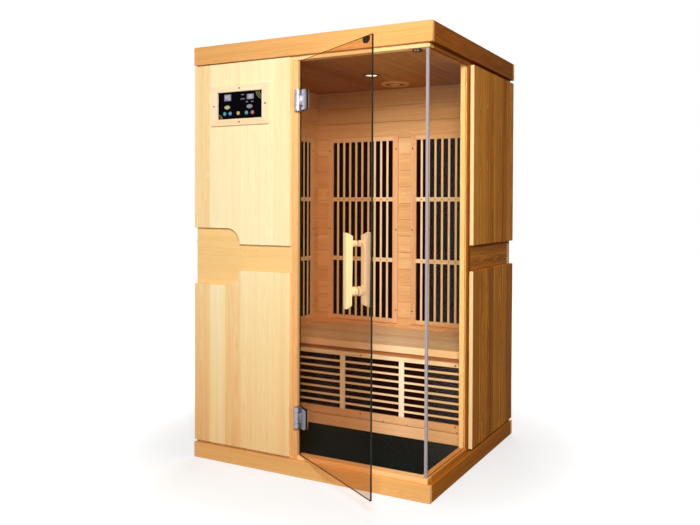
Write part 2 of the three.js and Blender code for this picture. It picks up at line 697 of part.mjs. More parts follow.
function makeHingeClamp(door, name, centreZ) {
  const outerY = doorOuterFaceY - hingeAxisY;
  const innerY = doorInnerFaceY - hingeAxisY;
  const edgeX = doorHingeEdgeX - hingeAxisX + hingeNotchDepth;
  const halfHeight = knuckleMiddleHeight / 2 + knuckleEndHeight - clampSetback;
  const zSpan = [centreZ - halfHeight, centreZ + halfHeight];
  const webX = [edgeX - touchGap - clampPlateThickness, edgeX - touchGap];
  const outerPlateY = [outerY - touchGap - clampPlateThickness, outerY - touchGap];
  const innerPlateY = [innerY + touchGap, innerY + touchGap + clampPlateThickness];
  const outerPlate = box([webX[0], edgeX + clampLength], outerPlateY, zSpan);
  const innerPlate = box([webX[0], edgeX + clampLength], innerPlateY, zSpan);
  const web = box(webX, [outerPlateY[0], innerPlateY[1]], zSpan);
  const knuckleZ = knuckleMiddleHeight / 2 - touchGap;
  const midSpan = [centreZ - knuckleZ, centreZ + knuckleZ];
  const arm = box([0, webX[1]], [outerPlateY[0] - clampPlateThickness, outerPlateY[1]], midSpan);
  const knuckle = rod('z', [0, 0, centreZ], knuckleRadius, 2 * knuckleZ);
  const bore = rod('z', [0, 0, centreZ], hingePinRadius + touchGap, 2 * (knuckleZ + overcut), 16);
  add(door, name, cut(join(outerPlate, innerPlate, web, arm, knuckle), bore), finishes.chrome);
}

// A wooden bar held off the glass on two round standoffs; side -1 is outside, 1 is inside
function handleBar(side, glassFace, boltReach) {
  const x = doorFreeEdgeX - handleFromFreeEdge - hingeAxisX;
  const near = glassFace + side * standoffLength;
  const far = near + side * handleThickness;
  const half = handleHeight / 2;
  const outline = flatShape([
    [near, handleCentreZ - half + handleEndSlant], [far, handleCentreZ - half],
    [far, handleCentreZ + half], [near, handleCentreZ + half - handleEndSlant],
  ]);
  const bar = prism(outline, 'x', x - handleWidth / 2, x + handleWidth / 2);
  const seat = glassFace + side * touchGap;
  const rods = [-1, 1].flatMap((end) => {
    const z = handleCentreZ + standoffRise + end * standoffSpacing / 2;
    const length = Math.abs(near - seat) + overcut;
    const radius = end < 0 ? lowerStandoffRadius : standoffRadius;
    const standoff = rod('y', [x, seat + side * length / 2, z], radius, length, 20);
    if (!boltReach) return [standoff];
    const boltLength = boltReach + overcut;
    const boltY = seat + side * (overcut - boltLength / 2);
    return [standoff, rod('y', [x, boltY, z], handleBoltRadius, boltLength, 16)];
  });
  return join(bar, ...rods);
}

function makeDoor() {
  const door = new THREE.Group();
  door.position.set(hingeAxisX, hingeAxisY, 0);
  door.rotation.z = -doorOpenAngle;
  cabin.add(door);
  const outerY = doorOuterFaceY - hingeAxisY;
  const innerY = doorInnerFaceY - hingeAxisY;
  const handleX = doorFreeEdgeX - handleFromFreeEdge - hingeAxisX;
  const paneX = [doorHingeEdgeX - hingeAxisX, doorFreeEdgeX - hingeAxisX];
  const pane = box(paneX, [outerY, innerY], [doorBottom, doorTop]);
  const boltHoles = [-1, 1].map((end) => rod('y',
    [handleX, (outerY + innerY) / 2, handleCentreZ + standoffRise + end * standoffSpacing / 2],
    handleBoltRadius + touchGap, glassThickness + 2 * overcut, 16));
  const notchHalf = knuckleMiddleHeight / 2 + knuckleEndHeight + hingeNotchMargin;
  const notches = hingeHeights.map((z) => box([paneX[0] - overcut, paneX[0] + hingeNotchDepth],
    [outerY - overcut, innerY + overcut], [z - notchHalf, z + notchHalf]));
  add(door, 'door_glass', cut(pane, ...boltHoles, ...notches), finishes.tintedGlass);
  add(door, 'handle_outer', handleBar(-1, outerY, glassThickness + touchGap), finishes.handleWood);
  add(door, 'handle_inner', handleBar(1, innerY, 0), finishes.handleWood);
  hingeHeights.forEach((z, i) => makeHingeClamp(door, `hinge_clamp_${['lower', 'upper'][i]}`, z));
  const strikeX = doorFreeEdgeX - strikeFromFreeEdge - hingeAxisX;
  const half = strikeWidth / 2;
  const shoulder = doorTop - strikeHeight / 2;
  const lowEnd = doorTop - strikeHeight;
  const strike = new THREE.Shape();
  strike.moveTo(strikeX - half, doorTop);
  strike.lineTo(strikeX - half, shoulder);
  strike.quadraticCurveTo(strikeX - half, lowEnd, strikeX, lowEnd);
  strike.quadraticCurveTo(strikeX + half, lowEnd, strikeX + half, shoulder);
  strike.lineTo(strikeX + half, doorTop);
  strike.closePath();
  const strikeY = [innerY + touchGap, innerY + touchGap + strikeThickness];
  add(door, 'strike_plate', prism(strike, 'y', ...strikeY, 6), finishes.blackPlastic);
}

function makeHingesAndCatch() {
  hingeHeights.forEach((z, i) => makeHingeLeaf(`hinge_leaf_${['lower', 'upper'][i]}`, z));
  const x = doorFreeEdgeX - catchFromFreeEdge;
  const frontY = doorInnerFaceY + touchGap + strikeThickness + catchAirGap;
  const top = headRailBottom - touchGap;
  add(cabin, 'door_catch', box([x - catchWidth / 2, x + catchWidth / 2], [frontY, frontY + catchDepth],
    [top - catchHeight, top]), finishes.blackPlastic);
}

ringOfBoards('skirt', skirtThickness, [0, skirtHeight]);
ringOfBoards('fascia', fasciaThickness, [ceilingZ, cabinHeight]);
makeFloor();
makeCurbsAndRails();
makeWalls();
makePosts();
makeFrontCladding();
makeSideCladding();
makeSideGlass();
makeRoof();
makeWallHeaters();
makeBench();
makeControls();
makeHingesAndCatch();
makeDoor();

export default cabin;
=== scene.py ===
import json
import math

import bpy
import numpy as np
from mathutils import Matrix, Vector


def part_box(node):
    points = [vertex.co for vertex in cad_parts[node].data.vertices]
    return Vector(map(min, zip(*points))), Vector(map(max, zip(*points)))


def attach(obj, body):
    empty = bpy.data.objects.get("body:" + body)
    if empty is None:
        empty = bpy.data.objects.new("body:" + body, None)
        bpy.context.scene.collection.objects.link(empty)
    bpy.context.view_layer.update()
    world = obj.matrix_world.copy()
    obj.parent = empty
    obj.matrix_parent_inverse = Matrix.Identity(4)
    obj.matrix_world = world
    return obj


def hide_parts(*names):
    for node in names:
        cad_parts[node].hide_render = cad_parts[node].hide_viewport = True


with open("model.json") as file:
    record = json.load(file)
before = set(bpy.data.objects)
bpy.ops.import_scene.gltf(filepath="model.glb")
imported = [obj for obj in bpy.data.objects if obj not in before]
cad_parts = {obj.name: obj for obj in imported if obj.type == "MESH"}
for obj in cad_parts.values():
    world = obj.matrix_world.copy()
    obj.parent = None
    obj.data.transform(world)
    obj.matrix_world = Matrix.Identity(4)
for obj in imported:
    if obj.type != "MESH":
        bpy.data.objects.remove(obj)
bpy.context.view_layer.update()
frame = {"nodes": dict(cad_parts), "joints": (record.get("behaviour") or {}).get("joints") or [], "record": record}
mm = 0.001
rng = np.random.default_rng(11)
print("frame loaded,", len(frame["nodes"]), "nodes")


# Meshes worked out as whole arrays

boardSteps = 2  # facets over each rounded edge


def span(node):
    lo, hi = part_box(node)
    return np.array(lo), np.array(hi)


# The grid's rings are joined by quads, and each end is closed by quads between opposite points.
# The signed volume of the closed skin says which way round the faces are written.
def skin(grid):
    rings, around = grid.shape[:2]
    index = np.arange(rings * around).reshape(rings, around)
    beside = np.roll(index, -1, axis=1)
    sides = np.stack([index[:-1], beside[:-1], beside[1:], index[1:]], axis=-1).reshape(-1, 4)
    j = np.arange(around // 2 - 1)
    lid = np.stack([j, j + 1, around - 2 - j, around - 1 - j], axis=-1)
    faces = np.concatenate([sides, lid[:, ::-1], lid + (rings - 1) * around])
    points = grid.reshape(-1, 3)
    a, b, c, d = (points[faces[:, k]] - points.mean(axis=0) for k in range(4))
    volume = (a * np.cross(b, c)).sum() + (a * np.cross(c, d)).sum()
    return points, (faces if volume > 0 else faces[:, ::-1])


# Where the growth rings lie in one board: the point measured along, across and into the board,
# from a pith line that is shifted at random for every board.
def grainOf(points, along, across, depth):
    middle = (points.min(axis=0) + points.max(axis=0)) / 2
    shift = rng.uniform([-4, -0.07, 0.03], [4, 0.07, 0.14])
    local = points - middle
    return np.stack([local[:, along], local[:, across], local[:, depth]], axis=-1) + shift


# Rounded box: each point is a corner centre plus the edge radius times a unit direction,
# P = C + r (cos t cos f, cos t sin f, sin t), where f goes round the section and t over each end.
# An end may follow a curve: its height is then read off the curve at the point's place across.
def board(lo, hi, along, edge=1.5 * mm, tone=0.5, drift=0.0, low=None, high=None, cuts=()):
    lo, hi = np.asarray(lo, float), np.asarray(hi, float)
    across, depth = sorted((k for k in range(3) if k != along), key=lambda k: lo[k] - hi[k])
    edge = min(edge, 0.49 * (hi - lo).min())
    quarter = np.linspace(0, np.pi / 2, boardSteps + 1)
    ends = np.ones(boardSteps + 1)
    frontA = np.concatenate([ends * (lo[across] + edge), cuts, ends * (hi[across] - edge)])
    frontF = np.concatenate([np.pi - quarter, np.full(len(cuts), np.pi / 2), np.pi / 2 - quarter])
    centreA = np.concatenate([frontA, frontA[::-1]])
    centreD = np.repeat([hi[depth] - edge, lo[depth] + edge], len(frontA))
    turn = np.concatenate([frontF, -frontF[::-1]])
    tilt = np.concatenate([-quarter[::-1], quarter])[:, None]
    grid = np.empty((len(tilt), len(turn), 3))
    normals = np.empty_like(grid)
    normals[..., across] = np.cos(tilt) * np.cos(turn)
    normals[..., depth] = np.cos(tilt) * np.sin(turn)
    normals[..., along] = np.sin(tilt)
    grid[..., across] = centreA + edge * normals[..., across]
    grid[..., depth] = centreD + edge * normals[..., depth]
    lowEnd = lo[along] if low is None else np.interp(grid[..., across], *low)
    highEnd = hi[along] if high is None else np.interp(grid[..., across], *high)
    upper = (np.arange(len(tilt)) > boardSteps)[:, None]
    grid[..., along] = np.where(upper, highEnd - edge, lowEnd + edge) + edge * np.sin(tilt)
    points, faces = skin(grid)
    share = (points[:, along] - lo[along]) / (hi[along] - lo[along]) - 0.5
    return {"points": points, "faces": faces, "normals": normals.reshape(-1, 3),
            "grain": grainOf(points, along, across, depth), "tone": tone + drift * share}


# A flat outline, written as two matched edges, carried straight along one axis.
def carried(edgeA, edgeB, along, start, end, tone=0.5, drift=0.0):
    loop = np.concatenate([np.asarray(edgeA, float), np.asarray(edgeB, float)[::-1]])
    first, second = (k for k in range(3) if k != along)
    grid = np.empty((2, len(loop), 3))
    grid[..., first] = loop[:, 0]
    grid[..., second] = loop[:, 1]
    grid[..., along] = np.array([start, end])[:, None]
    points, faces = skin(grid)
    share = (points[:, along] - start) / (end - start) - 0.5
    return {"points": points, "faces": faces, "normals": None,
            "grain": grainOf(points, along, second, first), "tone": tone + drift * share}


# Turned shape: a profile of radius and height, P = centre + r (cos f u + sin f v) + h w,
# with w the turning axis.
def turned(profile, centre, axis=2, sides=32, tone=0.5):
    profile = np.asarray(profile, float)
    turn = np.linspace(0, 2 * np.pi, sides, endpoint=False)
    u, v = (k for k in range(3) if k != axis)
    grid = np.empty((len(profile), sides, 3))
    grid[..., u] = centre[u] + profile[:, :1] * np.cos(turn)
    grid[..., v] = centre[v] + profile[:, :1] * np.sin(turn)
    grid[..., axis] = centre[axis] + profile[:, 1:]
    points, faces = skin(grid)
    return {"points": points, "faces": faces, "normals": None,
            "grain": grainOf(points, axis, u, v), "tone": np.full(len(points), tone)}


# A part turned about the upright through a point: P' = Q + R (P - Q).
def swung(part, pivot, angle):
    c, s = math.cos(angle), math.sin(angle)
    spin = np.array([[c, -s, 0], [s, c, 0], [0, 0, 1]])
    part["points"] = (part["points"] - pivot) @ spin.T + pivot
    if part["normals"] is not None:
        part["normals"] = part["normals"] @ spin.T
    return part


def stack(parts, key):
    return np.concatenate([part[key] for part in parts])


def makeMesh(name, parts, finishes, pick=None):
    starts = np.cumsum([0] + [len(part["points"]) for part in parts[:-1]])
    faces = np.concatenate([part["faces"] + start for part, start in zip(parts, starts)])
    mesh = bpy.data.meshes.new(name)
    mesh.from_pydata(stack(parts, "points").tolist(), [], faces.tolist())
    mesh.attributes.new("grain", "FLOAT_VECTOR", "POINT").data.foreach_set(
        "vector", stack(parts, "grain").astype(np.float32).ravel())
    mesh.attributes.new("tone", "FLOAT", "POINT").data.foreach_set(
        "value", stack(parts, "tone").astype(np.float32))
    for finish in finishes:
        mesh.materials.append(finish)
    if pick is not None:
        mesh.polygons.foreach_set("material_index", pick(mesh).astype(np.int32))
    mesh.shade_smooth()
    if all(part["normals"] is not None for part in parts):
        mesh.normals_split_custom_set_from_vertices(stack(parts, "normals").tolist())
    else:
        mesh.set_sharp_from_angle(angle=math.radians(35))
    mesh.update()
    return mesh


# Faces turned to the right take the second finish, a deeper wood that is painted shade on the side away from the key.
def shadedRightFaces(mesh):
    normals = np.empty(len(mesh.polygons) * 3, np.float32)
    mesh.polygons.foreach_get("normal", normals)
    return normals[0::3] > 0.7


def makePiece(name, parts, finishes, body, nodes=(), pick=None, bevel=0):
    finishes = finishes if isinstance(finishes, list) else [finishes]
    thing = bpy.data.objects.new(name, makeMesh(name, parts, finishes, pick))
    bpy.context.scene.collection.objects.link(thing)
    if bevel:
        soften = thing.modifiers.new("soft edges", "BEVEL")
        soften.width = bevel
        soften.segments = 2
        soften.limit_method = "ANGLE"
        soften.angle_limit = math.radians(40)
        soften.harden_normals = True
    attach(thing, body)
    if nodes:
        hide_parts(*nodes)
    return thing


# Finishes

def nodeMaker(tree):
    tree.nodes.clear()

    def make(kind, inputs=None, **settings):
        node = tree.nodes.new("ShaderNode" + kind)
        for key, value in settings.items():
            setattr(node, key, value)
        for key, value in (inputs or {}).items():
            if isinstance(value, bpy.types.NodeSocket):
                tree.links.new(value, node.inputs[key])
            else:
                node.inputs[key].default_value = value
        return node

    return make


def newFinish(name):
    finish = bpy.data.materials.new(name)
    finish.use_nodes = True
    return finish, nodeMaker(finish.node_tree)


def output(make, shader):
    make("OutputMaterial", {"Surface": shader})


woodLook = {
    "ramp": [(0.0, (0.96, 0.84, 0.52)), (0.33, (0.92, 0.67, 0.33)), (0.66, (0.85, 0.47, 0.185)),
             (1.0, (0.60, 0.27, 0.085)), (1.5, (0.27, 0.095, 0.022))],
    "ringSpacing": 5 * mm,
    "broad": 0.30,  # how much each layer of grain moves the tone
    "fine": 0.20,
    "pores": 0.10,
    "rings": 0.10,
    "specular": 0.06,
}


# Straight-grained softwood: long streaks at three widths and growth rings round the pith line move
# the board's own tone up and down a ramp from cream to brown.
def woodFinish(name, roughness=0.5, strength=1.0, shade=(1, 1, 1), specular=woodLook["specular"]):
    finish, make = newFinish(name)
    grain = make("Attribute", attribute_name="grain").outputs["Vector"]
    tone = make("Attribute", attribute_name="tone").outputs["Fac"]

    def streaks(scale, detail, roughen=0.55):
        stretched = make("VectorMath", {0: grain, 1: scale}, operation="MULTIPLY").outputs[0]
        return make("TexNoise", {"Vector": stretched, "Scale": 1.0, "Detail": detail,
                                 "Roughness": roughen}).outputs["Fac"]

    broad = streaks((0.8, 38, 38), 3)
    fine = streaks((5, 330, 330), 3)
    pores = streaks((30, 1500, 1500), 1)
    wander = make("VectorMath", {0: grain, 1: (0.35, 1, 1)}, operation="MULTIPLY").outputs[0]
    rings = make("TexWave", {"Vector": wander, "Scale": 2 * math.pi / (20 * woodLook["ringSpacing"]),
                             "Distortion": 9.0, "Detail": 2.0, "Detail Scale": 0.35},
                 wave_type="RINGS", rings_direction="X", wave_profile="SAW").outputs["Fac"]
    value = tone
    for layer, amount in ((broad, woodLook["broad"]), (fine, woodLook["fine"]),
                          (pores, woodLook["pores"]), (rings, woodLook["rings"])):
        centred = make("Math", {0: layer, 1: 0.5}, operation="SUBTRACT").outputs[0]
        value = make("Math", {0: centred, 1: amount * strength, 2: value},
                     operation="MULTIPLY_ADD").outputs[0]
    deepest = woodLook["ramp"][-1][0]
    ramp = make("ValToRGB", {"Fac": make("Math", {0: value, 1: deepest}, operation="DIVIDE").outputs[0]})
    stops = ramp.color_ramp.elements
    while len(stops) < len(woodLook["ramp"]):
        stops.new(1.0)
    for (place, colour), stop in zip(woodLook["ramp"], stops):
        stop.position = place / deepest
        stop.color = (*(c * s for c, s in zip(colour, shade)), 1)
    relief = make("Math", {0: fine, 1: pores}, operation="ADD").outputs[0]
    bump = make("Bump", {"Height": relief, "Strength": 0.12, "Distance": 0.6 * mm}).outputs["Normal"]
    gloss = make("MapRange", {"Value": fine, "To Min": roughness - 0.08, "To Max": roughness + 0.12})
    output(make, make("BsdfPrincipled", {"Base Color": ramp.outputs["Color"], "Normal": bump,
                                         "Roughness": gloss.outputs["Result"],
                                         "Specular IOR Level": specular}).outputs[0])
    return finish


glassLook = {"door": (0.70, 0.58, 0.47), "side": (0.80, 0.75, 0.64), "edge": (0.007, 0.012, 0.005), "index": 1.04}


# Bronze float glass; light passes straight through it to what stands behind.
def glassFinish(name, tint):
    finish, make = newFinish(name)
    smear = make("TexNoise", {"Vector": make("TexCoord").outputs["Object"], "Scale": 3.0, "Detail": 3.0})
    veil = make("MapRange", {"Value": smear.outputs["Fac"], "From Min": 0.45, "From Max": 0.75,
                             "To Min": 0.0, "To Max": 0.012})
    glass = make("BsdfPrincipled", {"Base Color": (*tint, 1), "IOR": glassLook["index"],
                                    "Roughness": veil.outputs["Result"], "Transmission Weight": 1.0})
    through = make("BsdfTransparent", {"Color": (*(math.sqrt(c) for c in tint), 1)})
    shadow = make("LightPath").outputs["Is Shadow Ray"]
    output(make, make("MixShader", {0: shadow, 1: glass.outputs[0], 2: through.outputs[0]}).outputs[0])
    return finish


def glassEdgeFinish():
    finish, make = newFinish("ground glass edge")
    cloud = make("TexNoise", {"Vector": make("TexCoord").outputs["Object"], "Scale": 260.0, "Detail": 2.0})
    gloss = make("MapRange", {"Value": cloud.outputs["Fac"], "To Min": 0.12, "To Max": 0.34})
    tint = make("ValToRGB", {"Fac": cloud.outputs["Fac"]})
    tint.color_ramp.elements[0].color = (*glassLook["edge"], 1)
    tint.color_ramp.elements[1].color = (*(1.9 * c for c in glassLook["edge"]), 1)
    output(make, make("BsdfPrincipled", {"Base Color": tint.outputs["Color"], "Specular IOR Level": 0.12,
                                         "Roughness": gloss.outputs["Result"]}).outputs[0])
    return finish


# A finish of one colour broken up by fine noise in its colour, gloss and relief.
def plainFinish(name, colour, roughness, metallic=0.0, spread=0.12, scale=400.0, relief=0.05, **sockets):
    finish, make = newFinish(name)
    place = make("TexCoord").outputs["Object"]
    cloud = make("TexNoise", {"Vector": place, "Scale": scale, "Detail": 3.0}).outputs["Fac"]
    tint = make("ValToRGB", {"Fac": cloud})
    tint.color_ramp.elements[0].color = (*(c * (1 - spread) for c in colour), 1)
    tint.color_ramp.elements[1].color = (*(min(1, c * (1 + spread)) for c in colour), 1)
    gloss = make("MapRange", {"Value": cloud, "To Min": max(0.02, roughness * 0.75),
                              "To Max": roughness * 1.25})
    bump = make("Bump", {"Height": cloud, "Strength": relief, "Distance": 0.4 * mm}).outputs["Normal"]
    shader = make("BsdfPrincipled", {"Base Color": tint.outputs["Color"], "Metallic": metallic,
                                     "Roughness": gloss.outputs["Result"], "Normal": bump, **sockets})
    output(make, shader.outputs[0])
    return finish


matLook = {"black": (0.0014, 0.0032, 0.0034), "fleck": (0.014, 0.023, 0.023), "crumb": 4 * mm}


# Pressed rubber crumb: cells of black with a pale one here and there, each a low bump.
def matFinish():
    finish, make = newFinish("rubber crumb mat")
    place = make("TexCoord").outputs["Object"]
    cells = make("TexVoronoi", {"Vector": place, "Scale": 1 / matLook["crumb"]})
    pick = make("SeparateColor", {0: cells.outputs["Color"]}).outputs[0]
    tint = make("ValToRGB", {"Fac": pick})
    tint.color_ramp.elements[0].position = 0.6
    tint.color_ramp.elements[0].color = (*matLook["black"], 1)
    tint.color_ramp.elements[1].color = (*matLook["fleck"], 1)
    bump = make("Bump", {"Height": cells.outputs["Distance"], "Strength": 0.5, "Distance": 0.8 * mm},
                invert=True)
    output(make, make("BsdfPrincipled", {"Base Color": tint.outputs["Color"], "Roughness": 0.85,
                                         "Normal": bump.outputs["Normal"],
                                         "Specular IOR Level": 0.08}).outputs[0])
    return finish


heaterLook = {"cell": 6 * mm, "dark": (0.010, 0.0018, 0.0008), "light": (0.020, 0.0045, 0.0020)}


# Woven carbon sheet: a fine check of two blacks.
def heaterFinish():
    finish, make = newFinish("carbon heater sheet")
    place = make("TexCoord").outputs["Object"]
    check = make("TexChecker", {"Vector": place, "Scale": 1 / heaterLook["cell"],
                                "Color1": (*heaterLook["dark"], 1), "Color2": (*heaterLook["light"], 1)})
    weave = make("TexNoise", {"Vector": place, "Scale": 900.0})
    bump = make("Bump", {"Height": weave.outputs["Fac"], "Strength": 0.1, "Distance": 0.3 * mm})
    output(make, make("BsdfPrincipled", {"Base Color": check.outputs["Color"], "Roughness": 0.75,
                                         "Specular IOR Level": 0.01,
                                         "Normal": bump.outputs["Normal"]}).outputs[0])
    return finish


def glowFinish(name, colour, strength):
    finish, make = newFinish(name)
    place = make("TexCoord").outputs["Object"]
    cloud = make("TexNoise", {"Vector": place, "Scale": 600.0}).outputs["Fac"]
    gloss = make("MapRange", {"Value": cloud, "To Min": 0.25, "To Max": 0.4})
    output(make, make("BsdfPrincipled", {"Base Color": (*colour, 1), "Roughness": gloss.outputs["Result"],
                                         "Emission Color": (*colour, 1),
                                         "Emission Strength": strength}).outputs[0])
    return finish


claddingWood = woodFinish("cladding wood", 0.5, 1.1)
# The side finishes below are deeper copies of the wood: painted shade for the sides that face away from the key.
shadedSideWood = woodFinish("shaded side cladding wood", 0.5, 3.3, shade=(0.92, 0.70, 0.27), specular=0.01)
shadedSideRingWood = woodFinish("shaded side ring wood", 0.48, 1.6, shade=(0.92, 0.66, 0.20), specular=0.01)
ringWood = woodFinish("ring wood", 0.46, 1.1, shade=(1.0, 0.93, 0.78))
trimWood = woodFinish("trim wood", 0.46)
innerWood = woodFinish("inner wood", 0.55, 1.5, shade=(0.97, 1.02, 1.12))
benchWood = woodFinish("bench wood", 0.52, 1.3, shade=(1.0, 1.01, 1.22))
handleWood = woodFinish("handle wood", 0.48, 0.7)
# The inner bar's finish is a near-white copy of the handle wood: painted light, so the bar shows bright behind the
# tinted glass.
brightenedHandleWood = woodFinish("brightened handle wood", 0.48, 0.7, shade=(0.98, 1.02, 1.32))
doorGlass = glassFinish("bronze door glass", glassLook["door"])
sideGlass = glassFinish("bronze side glass", glassLook["side"])
glassEdge = glassEdgeFinish()
clearStrip = plainFinish("clear edge strip", (0.34, 0.29, 0.315), 0.4, spread=0.05, scale=60.0,
                         **{"Specular IOR Level": 0.15})
chrome = plainFinish("chrome", (0.31, 0.30, 0.335), 0.3, 1.0, spread=0.03, scale=160.0, relief=0.01)
blackPlastic = plainFinish("black plastic", (0.012, 0.012, 0.014), 0.35, **{"Specular IOR Level": 0.2})
blackGloss = plainFinish("black gloss plate", (0.002, 0.002, 0.003), 0.25, spread=0.3, scale=90.0, relief=0.0,
                         **{"Specular IOR Level": 0.004})
blackMat = matFinish()
heaterBlack = heaterFinish()
boxSteel = plainFinish("painted steel", (0.52, 0.53, 0.54), 0.42, 0.3)
screwSteel = plainFinish("dark screw", (0.040, 0.022, 0.012), 0.45, 0.3, spread=0.2, **{"Specular IOR Level": 0.2})
bradBrass = plainFinish("brown brad", (0.36, 0.16, 0.05), 0.45, 0.3, spread=0.2)
lampRing = plainFinish("lamp ring", (0.12, 0.03, 0.015), 0.35, 0.2)
lampGlow = glowFinish("lamp diffuser", (1.0, 0.94, 0.84), 1.6)
displayGlow = glowFinish("display segments", (0.62, 0.58, 0.70), 0.3)
displayDim = plainFinish("display window", (0.24, 0.21, 0.26), 0.3, spread=0.25, relief=0.0, **{"Specular IOR Level": 0.1})
markGold = plainFinish("gold line", (0.34, 0.27, 0.10), 0.45, 0.1, spread=0.2, **{"Specular IOR Level": 0.1})
markCream = plainFinish("cream mark", (0.50, 0.40, 0.20), 0.45, spread=0.15, **{"Specular IOR Level": 0.1})
buttonFinish = {
    "button_blue": plainFinish("blue button", (0.06, 0.24, 0.32), 0.4),
    "button_amber": plainFinish("amber button", (0.46, 0.32, 0.13), 0.4),
    "button_red": plainFinish("red button", (0.42, 0.11, 0.10), 0.4),
}
print("finishes made")


# Camera where the photograph was taken from

cameraLook = {
    "place": (1.7726, -3.2114, 1.1737), "yaw": 27.49, "pitch": -0.91, "roll": 0.24,
    "lens": 38.52, "shift": (-0.0434, -0.0642),
}


def makeCamera():
    look = cameraLook
    yaw, pitch, roll = (math.radians(look[key]) for key in ("yaw", "pitch", "roll"))
    right = np.array([math.cos(yaw), math.sin(yaw), 0])
    ahead = np.array([-math.sin(yaw) * math.cos(pitch), math.cos(yaw) * math.cos(pitch), math.sin(pitch)])
    up = np.cross(right, ahead)
    tiltedRight = math.cos(roll) * right + math.sin(roll) * up
    tiltedUp = math.cos(roll) * up - math.sin(roll) * right
    lens = bpy.data.cameras.new("camera")
    lens.lens = look["lens"]
    lens.sensor_width = 36
    lens.sensor_fit = "HORIZONTAL"
    lens.shift_x, lens.shift_y = look["shift"]
    lens.clip_end = 100
    camera = bpy.data.objects.new("camera", lens)
    columns = np.column_stack([tiltedRight, tiltedUp, -ahead, look["place"]])
    camera.matrix_world = Matrix(columns.tolist() + [[0, 0, 0, 1]])
    bpy.context.scene.collection.objects.link(camera)
    bpy.context.scene.camera = camera


makeCamera()


# Studio: a pale floor that runs white into the background, one large soft key, a low white fill, and top, back and
# inside lamps

studioLook = {
    "lights": {  # place, aim, size, power, colour
        "key": ((2.1, -3.8, 2.4), (0, 0, 1.0), 0.9, 192, (1, 1, 1)),
        "top": ((0.1, 0.5, 4.6), (0, 0, 0), 2.4, 60, (1, 1, 1)),
        "fill": ((-3.4, -5.5, 1.2), (-0.2, -0.5, 0.9), 2.4, 74, (1, 1, 1)),
        "back": ((-1.6, 5.0, 2.6), (0, 0.5, 0.9), 2.4, 110, (1, 1, 1)),
        "inside": ((0.02, 0.055, 1.80), (0.02, 0.055, 0), 0.25, 0.6, (1.0, 0.92, 0.82)),
    },
    "ambient": 0.06,
    "floorSize": 30.0, "floorGrey": 0.5, "floorBounce": 0.15, "floorGlow": 0.54, "glowNear": 0.8,
    "glowFar": 1.7,
}


def areaLight(name, place, aim, size, power, colour):
    lamp = bpy.data.lights.new(name, "AREA")
    lamp.size = size
    lamp.energy = power
    lamp.color = colour
    thing = bpy.data.objects.new(name, lamp)
    back = np.array(place) - np.array(aim)
    back /= np.linalg.norm(back)
    side = np.cross([0, 0, 1] if abs(back[2]) < 0.9 else [0, 1, 0], back)
    side /= np.linalg.norm(side)
    columns = np.column_stack([side, np.cross(back, side), back, place])
    thing.matrix_world = Matrix(columns.tolist() + [[0, 0, 0, 1]])
    thing.visible_camera = False
    thing.visible_transmission = False
    bpy.context.scene.collection.objects.link(thing)


def seenDirectly(make):
    path = make("LightPath")
    seen = path.outputs["Is Camera Ray"]
    for kind in ("Is Glossy Ray", "Is Transmission Ray"):
        seen = make("Math", {0: seen, 1: path.outputs[kind]}, operation="MAXIMUM").outputs[0]
    return seen


# The floor's glow rises with distance from the cabin, so its far edge meets the white background.
def floorFinish():
    look = studioLook
    finish, make = newFinish("studio floor")
    place = make("TexCoord").outputs["Object"]
    distance = make("VectorMath", {0: place}, operation="LENGTH").outputs["Value"]
    glow = make("MapRange", {"Value": distance, "From Min": look["glowNear"], "From Max": look["glowFar"],
                             "To Min": look["floorGlow"], "To Max": 1.0}, interpolation_type="SMOOTHSTEP")
    plain = make("BsdfDiffuse", {"Color": (look["floorBounce"],) * 3 + (1,)}).outputs[0]
    pale = make("BsdfDiffuse", {"Color": (look["floorGrey"],) * 3 + (1,)}).outputs[0]
    light = make("Emission", {"Strength": glow.outputs["Result"]}).outputs[0]
    bright = make("AddShader", {0: pale, 1: light}).outputs[0]
    output(make, make("MixShader", {0: seenDirectly(make), 1: plain, 2: bright}).outputs[0])
    return finish


def makeStudio():
    look = studioLook
    half = look["floorSize"] / 2
    mesh = bpy.data.meshes.new("studio floor")
    mesh.from_pydata([(-half, -half, 0), (half, -half, 0), (half, half, 0), (-half, half, 0)], [],
                     [(0, 1, 2, 3)])
    mesh.materials.append(floorFinish())
    floor = bpy.data.objects.new("studio_floor", mesh)
    bpy.context.scene.collection.objects.link(floor)
    for name, settings in look["lights"].items():
        areaLight(name, *settings)
    world = bpy.data.worlds.new("studio")
    world.use_nodes = True
    make = nodeMaker(world.node_tree)
    level = make("MapRange", {"Value": seenDirectly(make), "To Min": look["ambient"], "To Max": 1.0})
    sky = make("Background", {"Color": (1, 1, 1, 1), "Strength": level.outputs["Result"]})
    make("OutputWorld", {"Surface": sky.outputs[0]})
    bpy.context.scene.world = world
    bpy.context.scene.view_settings.view_transform = "Standard"


makeStudio()
print("camera and studio made")


# Rings of boards round the base and the roof

ringLook = {"skirt": {"tone": 0.72, "shadedSideTone": 1.15, "edge": 2.5 * mm},
            "fascia": {"tone": 0.76, "shadedSideTone": 1.4, "edge": 2 * mm}}


def makeRings():
    for ring, look in ringLook.items():
        for side in ("front", "back", "left", "right"):
            node = f"{ring}_{side}"
            lo, hi = span(node)
            # Left and right boards take the deep side ring wood and tone: painted shade on the sides.
            along, tone, finish = (0, "tone", ringWood) if side in ("front", "back") else (1, "shadedSideTone", shadedSideRingWood)
            plank = board(lo, hi, along, look["edge"], look[tone] + rng.uniform(-0.03, 0.03))
            makePiece(node + "_board", [plank], finish, "cabin", [node])


makeRings()


# Floor, its bearers and the mat

floorLook = {"boards": 8, "bearers": 5, "bearerWidth": 60 * mm, "bearerPitch": 200 * mm,
             "slab": 20 * mm, "tone": 0.72, "matEdge": 1.2 * mm}


